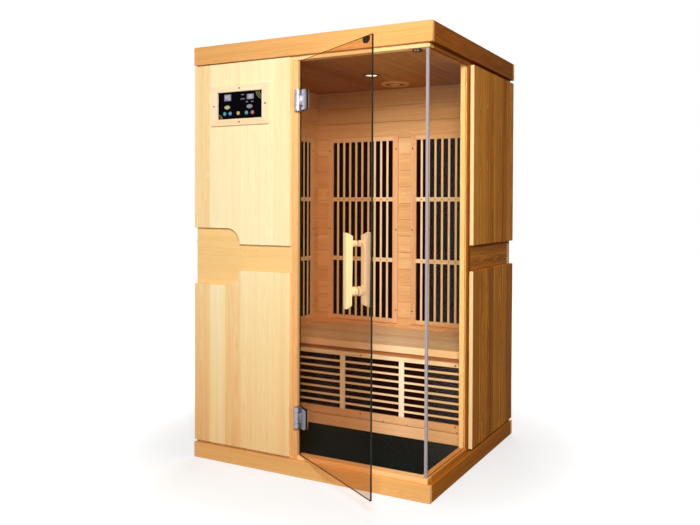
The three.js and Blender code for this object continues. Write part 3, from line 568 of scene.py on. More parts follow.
def makeFloor():
    look = floorLook
    lo, hi = span("floor_base")
    rows = np.linspace(lo[1], hi[1], look["boards"] + 1)
    under = hi[2] - look["slab"]
    parts = [board((lo[0], a + 0.2 * mm, under), (hi[0], b - 0.2 * mm, hi[2]), 0, 1 * mm,
                   look["tone"] + rng.uniform(-0.1, 0.1)) for a, b in zip(rows, rows[1:])]
    places = (np.arange(look["bearers"]) - (look["bearers"] - 1) / 2) * look["bearerPitch"]
    half = look["bearerWidth"] / 2
    parts += [board((lo[0], y - half, lo[2]), (hi[0], y + half, under - 0.2 * mm), 0, 2 * mm,
                    look["tone"]) for y in places]
    makePiece("floor_boards", parts, innerWood, "cabin", ["floor_base"])
    matLo, matHi = span("floor_mat")
    postLo, postHi = span("glass_post")
    gap = 0.5 * mm
    edgeLeft = [(matLo[0], matLo[1]), (matLo[0], postLo[1] - gap), (matLo[0], matHi[1])]
    edgeRight = [(matHi[0], matLo[1]), (matHi[0], postLo[1] - gap), (postLo[0] - gap, matHi[1])]
    edgeLeft.insert(2, (matLo[0], postLo[1]))
    edgeRight.insert(2, (postLo[0] - gap, postLo[1]))
    mat = carried(edgeLeft, edgeRight, 2, matLo[2], matHi[2])
    makePiece("rubber_mat", [mat], blackMat, "cabin", ["floor_mat"], bevel=look["matEdge"])


makeFloor()
print("base and floor made")


# Threshold, sill and head rails; the pane stands in a groove in each

railLook = {"tone": 0.48, "shadedSideTone": 1.3, "sillTone": 0.62, "sideSillTone": 0.95, "edge": 1.2 * mm, "groove": 8 * mm, "fit": 0.5 * mm}


def makeRails():
    look = railLook
    glassLo, glassHi = span("side_glass")
    grooveX = (glassLo[0] - look["fit"], glassHi[0] + look["fit"])
    grooveY = glassLo[1] - look["fit"]
    for node, tone, up in (("threshold", look["sillTone"], True), ("head_rail_front", look["tone"], False)):
        lo, hi = span(node)
        floorZ = hi[2] - look["groove"] if up else lo[2] + look["groove"]
        bedLo, bedHi = ((lo[2], floorZ) if up else (floorZ, hi[2]))
        parts = [
            board(lo, (grooveX[0], hi[1], hi[2]), 0, look["edge"], tone),
            board((grooveX[0], lo[1], lo[2]), (grooveX[1], grooveY, hi[2]), 1, 0.3 * mm, tone),
            board((grooveX[0], grooveY, bedLo), (grooveX[1], hi[1], bedHi), 1, 0.3 * mm, tone),
            board((grooveX[1], lo[1], lo[2]), hi, 1, look["edge"], tone),
        ]
        makePiece(node + "_rail", parts, [trimWood, shadedSideRingWood], "cabin", [node], shadedRightFaces)
    # The right head rail's tone is deep on purpose: painted shade on the right side.
    for node, tone, up in (("glass_sill", look["sideSillTone"], True), ("head_rail_right", look["shadedSideTone"], False)):
        lo, hi = span(node)
        base, lip = (lo[2], hi[2]) if up else (hi[2], lo[2])
        bed = lip - look["groove"] if up else lip + look["groove"]
        outer = [(lo[0], lip), (lo[0], base), (hi[0], base), (hi[0], lip)]
        inner = [(grooveX[0], lip), (grooveX[0], bed), (grooveX[1], bed), (grooveX[1], lip)]
        channel = carried(outer, inner, 1, lo[1], hi[1], tone)
        makePiece(node + "_channel", [channel], [ringWood, shadedSideRingWood], "cabin", [node], shadedRightFaces,
                  look["edge"])


makeRails()


# Walls: level boards inside, and an outer skin that shows as the waist band

wallLook = {"boardHeight": 90 * mm, "inner": 12 * mm, "tone": 0.64, "spread": 0.09, "edge": 2.6 * mm,
            "seam": 0.3 * mm, "bandTone": 0.44, "shadedBandTone": 1.14, "bandLow": 800 * mm, "bandHigh": 1078 * mm}


# Boards of one height stacked from the ceiling down; the last one is cut to fit.
def levelBoards(lo, hi, along, top):
    look = wallLook
    count = math.ceil((top - lo[2]) / look["boardHeight"])
    seams = np.clip(top - look["boardHeight"] * np.arange(count + 1), lo[2], hi[2])
    parts = []
    for high, low in zip(seams, seams[1:]):
        tone = look["tone"] + rng.uniform(-1, 1) * look["spread"]
        parts.append(board((*lo[:2], low + look["seam"]), (*hi[:2], high - look["seam"]), along,
                           look["edge"], tone))
    return parts


def makeWalls():
    look = wallLook
    ceiling = span("roof_panel")[0][2]
    faces = {"left_wall": (0, 1), "right_wall": (0, -1), "front_wall": (1, 1)}
    for node, (axis, inward) in faces.items():
        lo, hi = span(node)
        along = 1 - axis
        innerLo, innerHi, outerLo, outerHi = lo.copy(), hi.copy(), lo.copy(), hi.copy()
        if inward > 0:
            innerLo[axis] = hi[axis] - look["inner"]
            outerHi[axis] = innerLo[axis] - look["seam"]
        else:
            innerHi[axis] = lo[axis] + look["inner"]
            outerLo[axis] = innerHi[axis] + look["seam"]
        parts = levelBoards(innerLo, innerHi, along, ceiling)
        makePiece(node + "_boards", parts, innerWood, "cabin", [node])
        heights = [lo[2], look["bandLow"], look["bandHigh"], hi[2]]
        # The side walls' band takes the deep side wood and a deep tone: painted shade.
        tone, finish = ("bandTone", ringWood) if node == "front_wall" else ("shadedBandTone", shadedSideWood)
        skins = [board((*outerLo[:2], low), (*outerHi[:2], high), along, 0.8 * mm, look[tone])
                 for low, high in zip(heights, heights[1:])]
        makePiece(node + "_skin", skins, finish, "cabin")
    lo, hi = span("back_wall")
    split = lo[1] + (hi[1] - lo[1]) / 2
    parts = levelBoards(lo, np.array([hi[0], split - look["seam"], hi[2]]), 0, ceiling)
    parts += uprightPlanks(np.array([lo[0], split, lo[2]]), hi, 0, sideLook)
    makePiece("back_wall_boards", parts, innerWood, "cabin", ["back_wall"])


# Outer cladding of upright planks

# The side planks' tones are deep on purpose: painted shade on the side cladding. The back wall's outer planks take the
# same deep tones.
sideLook = {"plank": 97 * mm, "seam": 0.5 * mm, "edge": 1.6 * mm, "tone": 1.05, "lowTone": 1.09, "spread": 0.18,
            "lip": 4 * mm, "lipTone": 0.3}
frontLook = {
    "planks": 6, "seam": 0.05 * mm, "edge": 0.9 * mm,
    "upperTones": (0.37, 0.13, 0.16, 0.12, 0.10, 0.19),
    "lowerTones": (0.54, 0.29, 0.52, 0.36, 0.36, 0.40),
    "lowerDrift": -0.30,  # the planks deepen in tone towards the floor
    "waistMiddle": 939 * mm, "waistHalf": 58.5 * mm, "stepRadius": 71.5 * mm, "wideLength": 188 * mm,
    "curveSteps": 14,
}


def uprightPlanks(lo, hi, run, look, anchor=None):
    anchor = hi[run] if anchor is None else anchor
    first = math.ceil((lo[run] + 6 * mm - anchor) / look["plank"])
    last = math.floor((hi[run] - 6 * mm - anchor) / look["plank"])
    seams = np.concatenate([[lo[run]], anchor + look["plank"] * np.arange(first, last + 1), [hi[run]]])
    seams = np.unique(np.round(seams, 6))
    parts = []
    for start, end in zip(seams, seams[1:]):
        plankLo, plankHi = np.array(lo, float), np.array(hi, float)
        plankLo[run], plankHi[run] = start + look["seam"], end - look["seam"]
        tone = look["tone"] + rng.uniform(-1, 1) * look["spread"]
        parts.append(board(plankLo, plankHi, 2, look["edge"], tone))
    return parts


def makeSideCladding():
    for side in ("left", "right"):
        for level in ("upper", "lower"):
            node = f"{side}_cladding_{level}"
            lo, hi = span(node)
            split = lo[1] + sideLook["lip"]
            tone = sideLook["lowTone" if level == "lower" else "tone"]
            parts = uprightPlanks(np.array([lo[0], split, lo[2]]), hi, 1, {**sideLook, "tone": tone})
            makePiece(node + "_planks", parts, shadedSideWood, "cabin", [node])
            lip = board(lo, (hi[0], split, hi[2]), 2, 1.2 * mm, sideLook["lipTone"])
            makePiece(node + "_lip", [lip], trimWood, "cabin")


# The waist edge of the front cladding: level, a quarter round, then level again,
# z = narrow + R cos p at x = step + R sin p.
def waistEdge(left, right, sign):
    look = frontLook
    narrow = look["waistMiddle"] + sign * look["waistHalf"]
    step = left + look["wideLength"]
    p = np.linspace(0, np.pi / 2, look["curveSteps"] + 1)
    x = np.concatenate([[left - 1], step + look["stepRadius"] * np.sin(p), [right + 1]])
    z = np.concatenate([[1], np.cos(p), [0]]) * look["stepRadius"] * sign + narrow
    return x, z


def makeFrontCladding():
    look = frontLook
    lo, hi = span("front_cladding_upper")
    lowLo, lowHi = span("front_cladding_lower")
    plateLo, plateHi = span("control_plate")
    fit = 0.5 * mm
    seams = np.linspace(lo[0], hi[0], look["planks"] + 1)
    upper, lower = [], []
    for i, (a, b) in enumerate(zip(seams + look["seam"], seams[1:] - look["seam"])):
        edge = waistEdge(lo[0], hi[0], 1)
        cuts = edge[0][(edge[0] > a + look["edge"]) & (edge[0] < b - look["edge"])]
        tone = look["upperTones"][i]
        below = {"low": edge, "cuts": cuts, "tone": tone}
        pocketA, pocketB = max(a, plateLo[0] - fit), min(b, plateHi[0] + fit)
        if pocketA < pocketB:
            under, over = plateLo[2] - fit, plateHi[2] + fit
            upper.append(board((a, lo[1], lo[2]), (b, hi[1], under), 2, look["edge"], **below))
            upper.append(board((a, lo[1], over), (b, hi[1], hi[2]), 2, look["edge"], tone))
            if pocketA > a:
                upper.append(board((a, lo[1], under), (pocketA, hi[1], over), 2, look["edge"], tone))
            if pocketB < b:
                upper.append(board((pocketB, lo[1], under), (b, hi[1], over), 2, look["edge"], tone))
        else:
            upper.append(board((a, lo[1], lo[2]), (b, hi[1], hi[2]), 2, look["edge"], **below))
        edge = waistEdge(lo[0], hi[0], -1)
        lower.append(board((a, lowLo[1], lowLo[2]), (b, lowHi[1], lowHi[2]), 2, look["edge"],
                           look["lowerTones"][i], look["lowerDrift"], high=edge, cuts=cuts))
    makePiece("front_upper_planks", upper, claddingWood, "cabin", ["front_cladding_upper"])
    makePiece("front_lower_planks", lower, claddingWood, "cabin", ["front_cladding_lower"])


makeWalls()
makeSideCladding()
makeFrontCladding()
print("walls and cladding made")


# Door jamb, and the grooved post behind the side glass

# lipTone here is deep on purpose: painted shade on the strip of the post outside the glass.
postLook = {"tone": 0.74, "drift": -0.3, "postTone": 0.44, "postDrift": -0.15, "lipTone": 1.4, "edge": 2 * mm,
            "groove": 12 * mm, "fit": 0.5 * mm}


def makePosts():
    look = postLook
    lo, hi = span("door_jamb")
    jamb = board(lo, hi, 2, look["edge"], look["tone"], look["drift"])
    makePiece("door_jamb_post", [jamb], trimWood, "cabin", ["door_jamb"])
    lo, hi = span("glass_post")
    glassLo, glassHi = span("side_glass")
    left, right = glassLo[0] - look["fit"], glassHi[0] + look["fit"]
    bed = lo[1] + look["groove"]
    post = [board(lo, (left, hi[1], hi[2]), 2, look["edge"], look["postTone"], look["postDrift"]),
            board((left, bed, lo[2]), (right, *hi[1:]), 2, 0.3 * mm, look["postTone"], look["postDrift"])]
    makePiece("glass_post_grooved", post, trimWood, "cabin", ["glass_post"])
    # The lip right of the groove takes the deep side ring wood: painted shade on the post's outer strip.
    lip = board((right, lo[1], lo[2]), hi, 2, look["edge"], look["lipTone"])
    makePiece("glass_post_lip", [lip], shadedSideRingWood, "cabin")


makePosts()


# Fixed side glass and the clear strip on its front edge

paneLook = {"arris": 0.8 * mm}


# Faces that look across the pane's thickness are glass, the others are its ground edge.
def paneFaces(axis):
    def pick(mesh):
        normals = np.empty(len(mesh.polygons) * 3, np.float32)
        mesh.polygons.foreach_get("normal", normals)
        return (np.abs(normals.reshape(-1, 3) @ axis) < 0.9).astype(np.int32)
    return pick


def makeSideGlass():
    lo, hi = span("side_glass")
    pane = board(lo, hi, 2, paneLook["arris"])
    makePiece("side_glass_pane", [pane], sideGlass, "cabin", ["side_glass"])
    stripLo, stripHi = span("glass_edge_strip")
    fit = 0.5 * mm
    outer = [(stripLo[0], stripHi[1]), (stripLo[0], stripLo[1]), (stripHi[0], stripLo[1]),
             (stripHi[0], stripHi[1])]
    inner = [(lo[0] - fit, stripHi[1]), (lo[0] - fit, lo[1] - fit), (hi[0] + fit, lo[1] - fit),
             (hi[0] + fit, stripHi[1])]
    strip = carried(outer, inner, 2, stripLo[2], stripHi[2])
    makePiece("clear_edge_strip", [strip], clearStrip, "cabin", ["glass_edge_strip"],
              bevel=0.6 * mm)


makeSideGlass()
print("posts, rails and side glass made")


# Roof: ceiling boards, a top sheet, the lamp, the vent and the power box

# The ceiling boards' tone is deep on purpose: painted shade on a ceiling reached mostly by bounced light.
roofLook = {"boardWidth": 90 * mm, "boards": 15 * mm, "tone": 1.2, "spread": 0.1, "edge": 2.2 * mm,
            "seam": 0.3 * mm, "topTone": 0.5, "sheets": 3}
lampLook = {"ringWidth": 17 * mm, "sag": 5 * mm}
ventLook = {"tone": 0.72, "slots": 18, "slotWidth": 6 * mm, "slotFrom": 30 * mm, "slotTo": 58 * mm}
boxLook = {"lid": 4 * mm, "lip": 3 * mm, "edge": 2.5 * mm, "gland": 24 * mm, "glandRadius": 9 * mm}


def makeRoof():
    look = roofLook
    lo, hi = span("roof_panel")
    split = lo[2] + look["boards"]
    count = math.ceil((hi[0] - lo[0]) / look["boardWidth"] / 2)
    seams = np.clip(np.arange(-count, count + 1) * look["boardWidth"], lo[0], hi[0])
    parts = [board((a + look["seam"], lo[1], lo[2]), (b - look["seam"], hi[1], split - 0.3 * mm), 1,
                   look["edge"], look["tone"] + rng.uniform(-1, 1) * look["spread"])
             for a, b in zip(seams, seams[1:])]
    sheets = np.linspace(lo[0], hi[0], look["sheets"] + 1)
    parts += [board((a + look["seam"], lo[1], split), (b - look["seam"], hi[1], hi[2]), 1, 1 * mm,
                    look["topTone"] + rng.uniform(-0.05, 0.05)) for a, b in zip(sheets, sheets[1:])]
    makePiece("roof_boards", parts, innerWood, "cabin", ["roof_panel"])


# Lamp: a ring with a rolled edge, and a diffuser that sags as a shallow bowl, z = -s (1 - (r / R)^2).
def makeLamp():
    lo, hi = span("ceiling_lamp")
    ceiling = span("roof_panel")[0][2]
    centre = np.array([(lo[0] + hi[0]) / 2, (lo[1] + hi[1]) / 2, ceiling - 0.5 * mm])
    radius = (hi[0] - lo[0]) / 2
    depth = centre[2] - lo[2]
    inner = radius - lampLook["ringWidth"]
    t = np.linspace(0, np.pi, 9)
    roll = np.stack([(radius + inner) / 2 + (radius - inner) / 2 * np.cos(t), -depth * np.sin(t) ** 0.6], axis=-1)
    ring = turned(np.concatenate([[(0.002, -0.1 * mm)], [(radius, 0)], roll, [(inner, -0.4 * mm), (0.002, -0.4 * mm)]]),
                  centre, 2, 48)
    makePiece("lamp_ring", [ring], lampRing, "cabin", ["ceiling_lamp"])
    r = np.linspace(inner - 0.3 * mm, 1 * mm, 10)
    sag = -0.6 * mm - min(lampLook["sag"], depth - 0.8 * mm) * (1 - (r / inner) ** 2)
    bowl = np.concatenate([[(inner - 0.3 * mm, -0.45 * mm)], np.stack([r, sag], axis=-1)])
    makePiece("lamp_diffuser", [turned(bowl, centre, 2, 48)], lampGlow, "cabin")


# Vent: a turned rose with a rim, and a ring of slots let into its face.
def makeVent():
    look = ventLook
    lo, hi = span("ceiling_vent")
    ceiling = span("roof_panel")[0][2]
    centre = np.array([(lo[0] + hi[0]) / 2, (lo[1] + hi[1]) / 2, ceiling - 0.5 * mm])
    radius = (hi[0] - lo[0]) / 2
    depth = centre[2] - lo[2]
    t = np.linspace(0, np.pi / 2, 6)
    rim = np.stack([radius - 8 * mm + 8 * mm * np.cos(t), -depth * np.sin(t)], axis=-1)
    face = [(radius - 12 * mm, -depth), (radius - 15 * mm, -depth + 3 * mm), (26 * mm, -depth + 3 * mm),
            (23 * mm, -depth), (2 * mm, -depth)]
    rose = turned(np.concatenate([[(2 * mm, 0)], [(radius, 0)], rim, face]), centre, 2, 64, look["tone"])
    makePiece("vent_rose", [rose], benchWood, "cabin", ["ceiling_vent"])
    slots = []
    for turn in np.linspace(0, 2 * np.pi, look["slots"], endpoint=False):
        half = look["slotWidth"] / 2
        z = centre[2] - depth + 3 * mm
        slot = board((centre[0] + look["slotFrom"], centre[1] - half, z - 0.6 * mm),
                     (centre[0] + look["slotTo"], centre[1] + half, z + 1 * mm), 0, 0.5 * mm)
        slots.append(swung(slot, centre, turn))
    makePiece("vent_slots", slots, heaterBlack, "cabin")


def makePowerBox():
    look = boxLook
    lo, hi = span("power_box")
    shellY = hi[1] - look["gland"] + 1 * mm
    lidZ = hi[2] - look["lid"]
    lip = look["lip"]
    shell = board((lo[0] + lip, lo[1] + lip, lo[2]), (hi[0] - lip, shellY - lip, lidZ - 0.3 * mm), 0, look["edge"])
    lid = board((lo[0], lo[1], lidZ), (hi[0], shellY, hi[2]), 0, 1.5 * mm)
    r = look["glandRadius"]
    middle = np.array([(lo[0] + hi[0]) / 2, shellY - lip, (lo[2] + hi[2]) / 2])
    collar = [(1 * mm, 0), (r, 0), (r, 8 * mm), (r * 0.8, 9 * mm), (r * 0.8, 20 * mm), (r * 0.6, 26 * mm),
              (r * 0.3, 26 * mm), (1 * mm, 20 * mm)]
    gland = turned(np.minimum(collar, [1, hi[1] - middle[1]]), middle, 1, 24)
    makePiece("power_box_case", [shell, lid], boxSteel, "cabin", ["power_box"])
    makePiece("power_box_gland", [gland], blackPlastic, "cabin")


makeRoof()
makeLamp()
makeVent()
makePowerBox()
print("roof made")


# Screws: a shallow dome with a cross cut into it,
# z = h (1 - (r / R)^2) less the cross's depth where a point lies on one of its two arms.
screwLook = {"radius": 4 * mm, "dome": 1.2 * mm, "cross": 0.9 * mm, "arm": 0.28, "reach": 0.62}


def screw(centre, axis, sign, radius=None):
    look = screwLook
    radius = radius or look["radius"]
    share = np.linspace(1, 0.04, 9)[:, None]
    turn = np.linspace(0, 2 * np.pi, 24, endpoint=False)
    x, y = share * np.cos(turn), share * np.sin(turn)
    onArm = (np.minimum(np.abs(x), np.abs(y)) < look["arm"] / 2) & (share < look["reach"])
    height = look["dome"] * (1 - share ** 2) - look["cross"] * onArm + 0.15 * mm
    u, v = (k for k in range(3) if k != axis)
    rim = np.zeros((1, len(turn)))
    grid = np.empty((len(share) + 1, len(turn), 3))
    grid[..., u] = centre[u] + radius * np.concatenate([x[:1], x])
    grid[..., v] = centre[v] + radius * np.concatenate([y[:1], y])
    grid[..., axis] = centre[axis] + sign * np.concatenate([rim, height])
    points, faces = skin(grid)
    return {"points": points, "faces": faces, "normals": None, "grain": points,
            "tone": np.full(len(points), 0.5)}


# Heater guards on the walls

guardLook = {
    "stile": 30 * mm, "rail": 24 * mm, "crossRail": 22.5 * mm, "crossRails": 2, "slats": 9,
    "slatWidth": 12 * mm, "slatDepth": 3.5 * mm, "recess": 0.5 * mm, "edge": 1.2 * mm,
    "tone": 0.60, "slatTone": 0.27, "railTone": 0.36, "spread": 0.08, "screwShares": (0.07, 0.5, 0.93),
    "screwInset": 9 * mm, "bradRadius": 3.6 * mm, "litSideShift": -0.2,
}


def gapsBetween(start, end, bars, width):
    gap = (end - start - bars * width) / (bars + 1)
    return start + gap + (gap + width) * np.arange(bars)


# Every guard is written in (run, depth, z): run along the wall, depth from the wall to the front.
def makeGuard(name, run, front):
    look = guardLook
    node = f"{name}_heater_guard"
    lo, hi = span(node)
    axis = 1 - run
    wall = lo[axis] if front > 0 else hi[axis]
    deep = hi[axis] - lo[axis]

    def bar(run0, run1, deep0, deep1, z0, z1, along, tone):
        barLo, barHi = np.empty(3), np.empty(3)
        barLo[run], barHi[run] = run0, run1
        barLo[axis], barHi[axis] = sorted((wall + front * deep0, wall + front * deep1))
        barLo[2], barHi[2] = z0, z1
        # Guards on the side walls are written paler: painted light on the side walls.
        shift = look["litSideShift"] if run == 1 else 0
        return board(barLo, barHi, along, look["edge"], tone + shift + rng.uniform(-1, 1) * look["spread"])

    left, right = lo[run] + look["stile"], hi[run] - look["stile"]
    low, high = lo[2] + look["rail"], hi[2] - look["rail"]
    crossings = gapsBetween(low, high, look["crossRails"], look["crossRail"])
    levels = [(lo[2], low), *((z, z + look["crossRail"]) for z in crossings), (high, hi[2])]
    parts = [bar(lo[run], left, 0, deep, lo[2], hi[2], 2, look["tone"]),
             bar(right, hi[run], 0, deep, lo[2], hi[2], 2, look["tone"])]
    parts += [bar(left, right, 0, deep, z0, z1, run, look["tone"]) for z0, z1 in (levels[0], levels[-1])]
    parts += [bar(left, right, deep - look["slatDepth"] - 2 * mm, deep, z0, z1, run, look["railTone"])
              for z0, z1 in levels[1:-1]]
    front0 = deep - look["slatDepth"] - look["recess"]
    for start in gapsBetween(left, right, look["slats"], look["slatWidth"]):
        for (_, z0), (z1, _) in zip(levels, levels[1:]):
            parts.append(bar(start, start + look["slatWidth"], front0, deep - look["recess"], z0, z1, 2,
                             look["slatTone"]))
    makePiece(f"{name}_guard_slats", parts, benchWood, "cabin", [node])
    screws = []
    for place in (lo[run] + look["screwInset"], hi[run] - look["screwInset"]):
        for share in look["screwShares"]:
            centre = np.empty(3)
            centre[run], centre[axis], centre[2] = place, wall + front * deep, lo[2] + share * (hi[2] - lo[2])
            screws.append(screw(centre, axis, front))
    makePiece(f"{name}_guard_screws", screws, screwSteel, "cabin")
    brads = []
    for start in gapsBetween(left, right, look["slats"], look["slatWidth"]):
        for z in crossings:
            centre = np.empty(3)
            centre[run], centre[axis] = start + look["slatWidth"] / 2, wall + front * deep
            centre[2] = z + look["crossRail"] / 2
            brads.append(screw(centre, axis, front, look["bradRadius"]))
    makePiece(f"{name}_guard_brads", brads, bradBrass, "cabin")


panelLook = {"frame": 14 * mm, "rise": 1 * mm, "edge": 1 * mm}


# Heater: a thin carbon sheet with a raised binding round it.
def makeHeater(name, run, front):
    look = panelLook
    lo, hi = span(f"{name}_heater")
    axis = 1 - run
    sheetLo, sheetHi = lo.copy(), hi.copy()
    if front > 0:
        sheetHi[axis] -= look["rise"]
    else:
        sheetLo[axis] += look["rise"]
    parts = [board(sheetLo, sheetHi, 2, look["edge"])]
    strips = [(lo[run], lo[run] + look["frame"]), (hi[run] - look["frame"], hi[run])]
    for start, end in strips:
        stripLo, stripHi = lo.copy(), hi.copy()
        stripLo[run], stripHi[run] = start, end
        if front > 0:
            stripLo[axis] = sheetHi[axis]
        else:
            stripHi[axis] = sheetLo[axis]
        parts.append(board(stripLo, stripHi, 2, 0.4 * mm))
    makePiece(f"{name}_heater_sheet", parts, heaterBlack, "cabin", [f"{name}_heater"])


for guardName, guardRun, guardFront in (("back_left", 0, -1), ("back_right", 0, -1), ("left", 1, 1),
                                        ("right", 1, -1)):
    makeGuard(guardName, guardRun, guardFront)
    makeHeater(guardName, guardRun, guardFront)
makeHeater("bench", 0, -1)
print("wall heaters made")


# Bench: seat boards with a rounded front, the frame under it and the slatted front

benchLook = {
    "board": 98 * mm, "seam": 0.4 * mm, "edge": 3 * mm, "tone": 0.34, "spread": 0.14, "shadedFrameTone": 1.3, "lowTone": 0.70,
    "lowSeam": 3 * mm, "lowPale": -0.10, "nails": 9, "nailRadius": 2.6 * mm,
    "frameHeight": 45 * mm, "frameThickness": 22 * mm,
    "endStile": 24 * mm, "column": 297 * mm, "columns": 3, "divider": 27 * mm, "topRail": 20 * mm,
    "rows": 8, "pitch": 34.5 * mm, "slat": 10.5 * mm, "recess": 0.5 * mm, "slatTone": 0.36, "lowBoard": 56 * mm,
}


def makeSeat():
    look = benchLook
    lo, hi = span("bench_seat")
    count = math.ceil((hi[1] - lo[1]) / look["board"] - 0.1)
    seams = np.append(lo[1] + look["board"] * np.arange(count), hi[1])
    parts = [board((lo[0], a + look["seam"], lo[2]), (hi[0], b - look["seam"], hi[2]), 0, look["edge"],
                   look["tone"] + rng.uniform(-1, 1) * look["spread"]) for a, b in zip(seams, seams[1:])]
    makePiece("bench_seat_boards", parts, benchWood, "cabin", ["bench_seat"])
    lo, hi = span("bench_frame")
    t = look["frameThickness"]
    # The frame under the seat is written deep: painted shade in the recess under the seat's front edge.
    tone = look["shadedFrameTone"]
    bars = [board(lo, (hi[0], lo[1] + t, hi[2]), 0, 2 * mm, tone),
            board((lo[0], hi[1] - t, lo[2]), hi, 0, 2 * mm, tone),
            board((lo[0], lo[1] + t, lo[2]), (lo[0] + t, hi[1] - t, hi[2]), 1, 2 * mm, tone),
            board((hi[0] - t, lo[1] + t, lo[2]), (hi[0], hi[1] - t, hi[2]), 1, 2 * mm, tone)]
    makePiece("bench_frame_bars", bars, benchWood, "cabin", ["bench_frame"])


def makeBenchFront():
    look = benchLook
    lo, hi = span("bench_heater_guard")
    front, back = lo[1], hi[1]
    rights = hi[0] - look["endStile"] - np.arange(look["columns"]) * (look["column"] + look["divider"])
    lefts = rights - look["column"]
    top = hi[2] - look["topRail"]
    bottom = top - look["rows"] * look["pitch"] + look["slat"]

    def bar(x0, x1, z0, z1, along, tone, depth=0.0):
        return board((x0, front + depth, z0), (x1, back, z1), along, 1.6 * mm,
                     tone + rng.uniform(-1, 1) * 0.05)

    slatBack = front + guardLook["slatDepth"] + look["recess"]
    seam = lo[2] + look["lowBoard"]
    parts = [bar(lo[0], hi[0], top, hi[2], 0, look["tone"]),
             bar(lo[0], hi[0], seam + look["lowSeam"], bottom, 0, look["lowTone"]),
             bar(lo[0], hi[0], lo[2], seam, 0, look["lowTone"] + look["lowPale"]),
             bar(rights[0], hi[0], bottom, top, 2, look["tone"]),
             bar(lo[0], lefts[-1], bottom, top, 2, look["tone"])]
    parts += [board((right, front, bottom), (left, slatBack + 3 * mm, top), 2, 1.6 * mm, look["tone"] - 0.2)
              for right, left in zip(rights[1:], lefts[:-1])]
    for left, right in zip(lefts, rights):
        for row in range(1, look["rows"]):
            z = top - row * look["pitch"]
            parts.append(board((left, front + look["recess"], z), (right, slatBack, z + look["slat"]), 0,
                               1.6 * mm, look["slatTone"] + rng.uniform(-1, 1) * 0.06))
    makePiece("bench_front_slats", parts, benchWood, "cabin", ["bench_heater_guard"])
    screws = [screw(np.array([x, front, z]), 1, -1) for x in (lo[0] + 60 * mm, 0.0, hi[0] - 60 * mm)
              for z in (hi[2] - 11 * mm, seam + 30 * mm)]
    nailX = np.linspace(lo[0] + 50 * mm, hi[0] - 50 * mm, look["nails"])
    screws += [screw(np.array([x, front, seam + 7 * mm]), 1, -1, look["nailRadius"]) for x in nailX]
    makePiece("bench_front_screws", screws, screwSteel, "cabin")


makeSeat()
makeBenchFront()
print("bench made")


# Control panel: a mitred frame, a glossy plate with two displays and generic marks, push buttons

panelFaceLook = {
    "frameEdge": 1.5 * mm, "tone": 0.24, "digits": ("45", "30"),
    "leftDisplay": ((-425, 1643), (-387, 1672)), "rightDisplay": ((-299, 1645), (-261, 1668)),
    "leftOval": ((-408, 1614), (15.5, 8)), "rightOval": ((-284, 1613), (16, 8.5)),  # middle, half sizes
    "dashes": ((-322, 1667, 8), (-322, 1648, 11), (-298, 1634, 6), (-269, 1634, 6)),  # middle, half length
    "dashHeight": 4 * mm, "markRise": 0.35 * mm, "line": 2.2 * mm,
    "highArcs": (20 * mm, 28 * mm, 36 * mm), "lowArcs": (13 * mm, 20 * mm),
}
segmentPlaces = {  # place of each stroke in a digit one wide and two high, and whether it lies level
    "a": (0.5, 2, True), "b": (1, 1.5, False), "c": (1, 0.5, False), "d": (0.5, 0, True),
    "e": (0, 0.5, False), "f": (0, 1.5, False), "g": (0.5, 1, True),
}
digitStrokes = {"0": "abcdef", "3": "abcdg", "4": "bcfg", "5": "acdfg"}


# Mitred frame: each side is an outline with slanted ends, carried through the frame's thickness.
def makeBezel():
    look = panelFaceLook
    lo, hi = span("control_bezel")
    plateLo, plateHi = span("control_plate")
    lip = 4 * mm
    x0, x1, z0, z1 = plateLo[0] + lip, plateHi[0] - lip, plateLo[2] + lip, plateHi[2] - lip
    corners = [((lo[0], lo[2]), (x0, z0)), ((hi[0], lo[2]), (x1, z0)), ((hi[0], hi[2]), (x1, z1)),
               ((lo[0], hi[2]), (x0, z1))]
    parts = []
    for k in range(4):
        (a, b), (c, d) = corners[k], corners[(k + 1) % 4]
        # The bottom side of the frame is written 0.12 deeper: painted shade along its lower edge.
        side = carried([a, c], [b, d], 1, lo[1], hi[1], look["tone"] + (0.12 if k == 0 else 0))
        if k % 2 == 0:
            side["grain"] = grainOf(side["points"], 0, 2, 1)
        else:
            side["grain"] = grainOf(side["points"], 2, 0, 1)
        parts.append(side)
    makePiece("bezel_frame", parts, benchWood, "cabin", ["control_bezel"], bevel=look["frameEdge"])
    middleX, middleZ = (lo[0] + hi[0]) / 2, (lo[2] + hi[2]) / 2
    band = (x0 - lo[0]) / 2
    bandZ = (z0 - lo[2]) / 2
    places = [(lo[0] + band, middleZ), (hi[0] - band, middleZ), (middleX, lo[2] + bandZ), (middleX, hi[2] - bandZ)]
    screws = [screw(np.array([x, lo[1], z]), 1, -1, 4 * mm) for x, z in places]
    makePiece("bezel_screws", screws, screwSteel, "cabin")


# A quarter ring on the plate: P = corner + r (cos f, sin f), with r over the line's width.
def cornerArc(corner, radius, start, line, face, rise):
    turn = np.linspace(start, start + np.pi / 2, 17)
    inner = np.stack([corner[0] + (radius - line / 2) * np.cos(turn),
                      corner[1] + (radius - line / 2) * np.sin(turn)], axis=-1)
    outer = np.stack([corner[0] + (radius + line / 2) * np.cos(turn),
                      corner[1] + (radius + line / 2) * np.sin(turn)], axis=-1)
    return carried(inner, outer, 1, face - rise, face)


# An oval mark: x = a cos t, z = +-(b sin t + e), with a small e so that its two edges stay apart.
def ovalMark(middle, half, face, rise):
    t = np.linspace(np.pi, 0, 25)
    x, z = middle[0] + half[0] * np.cos(t), half[1] * np.sin(t) + 0.3 * mm
    return carried(np.stack([x, middle[1] - z], axis=-1), np.stack([x, middle[1] + z], axis=-1), 1, face - rise, face)


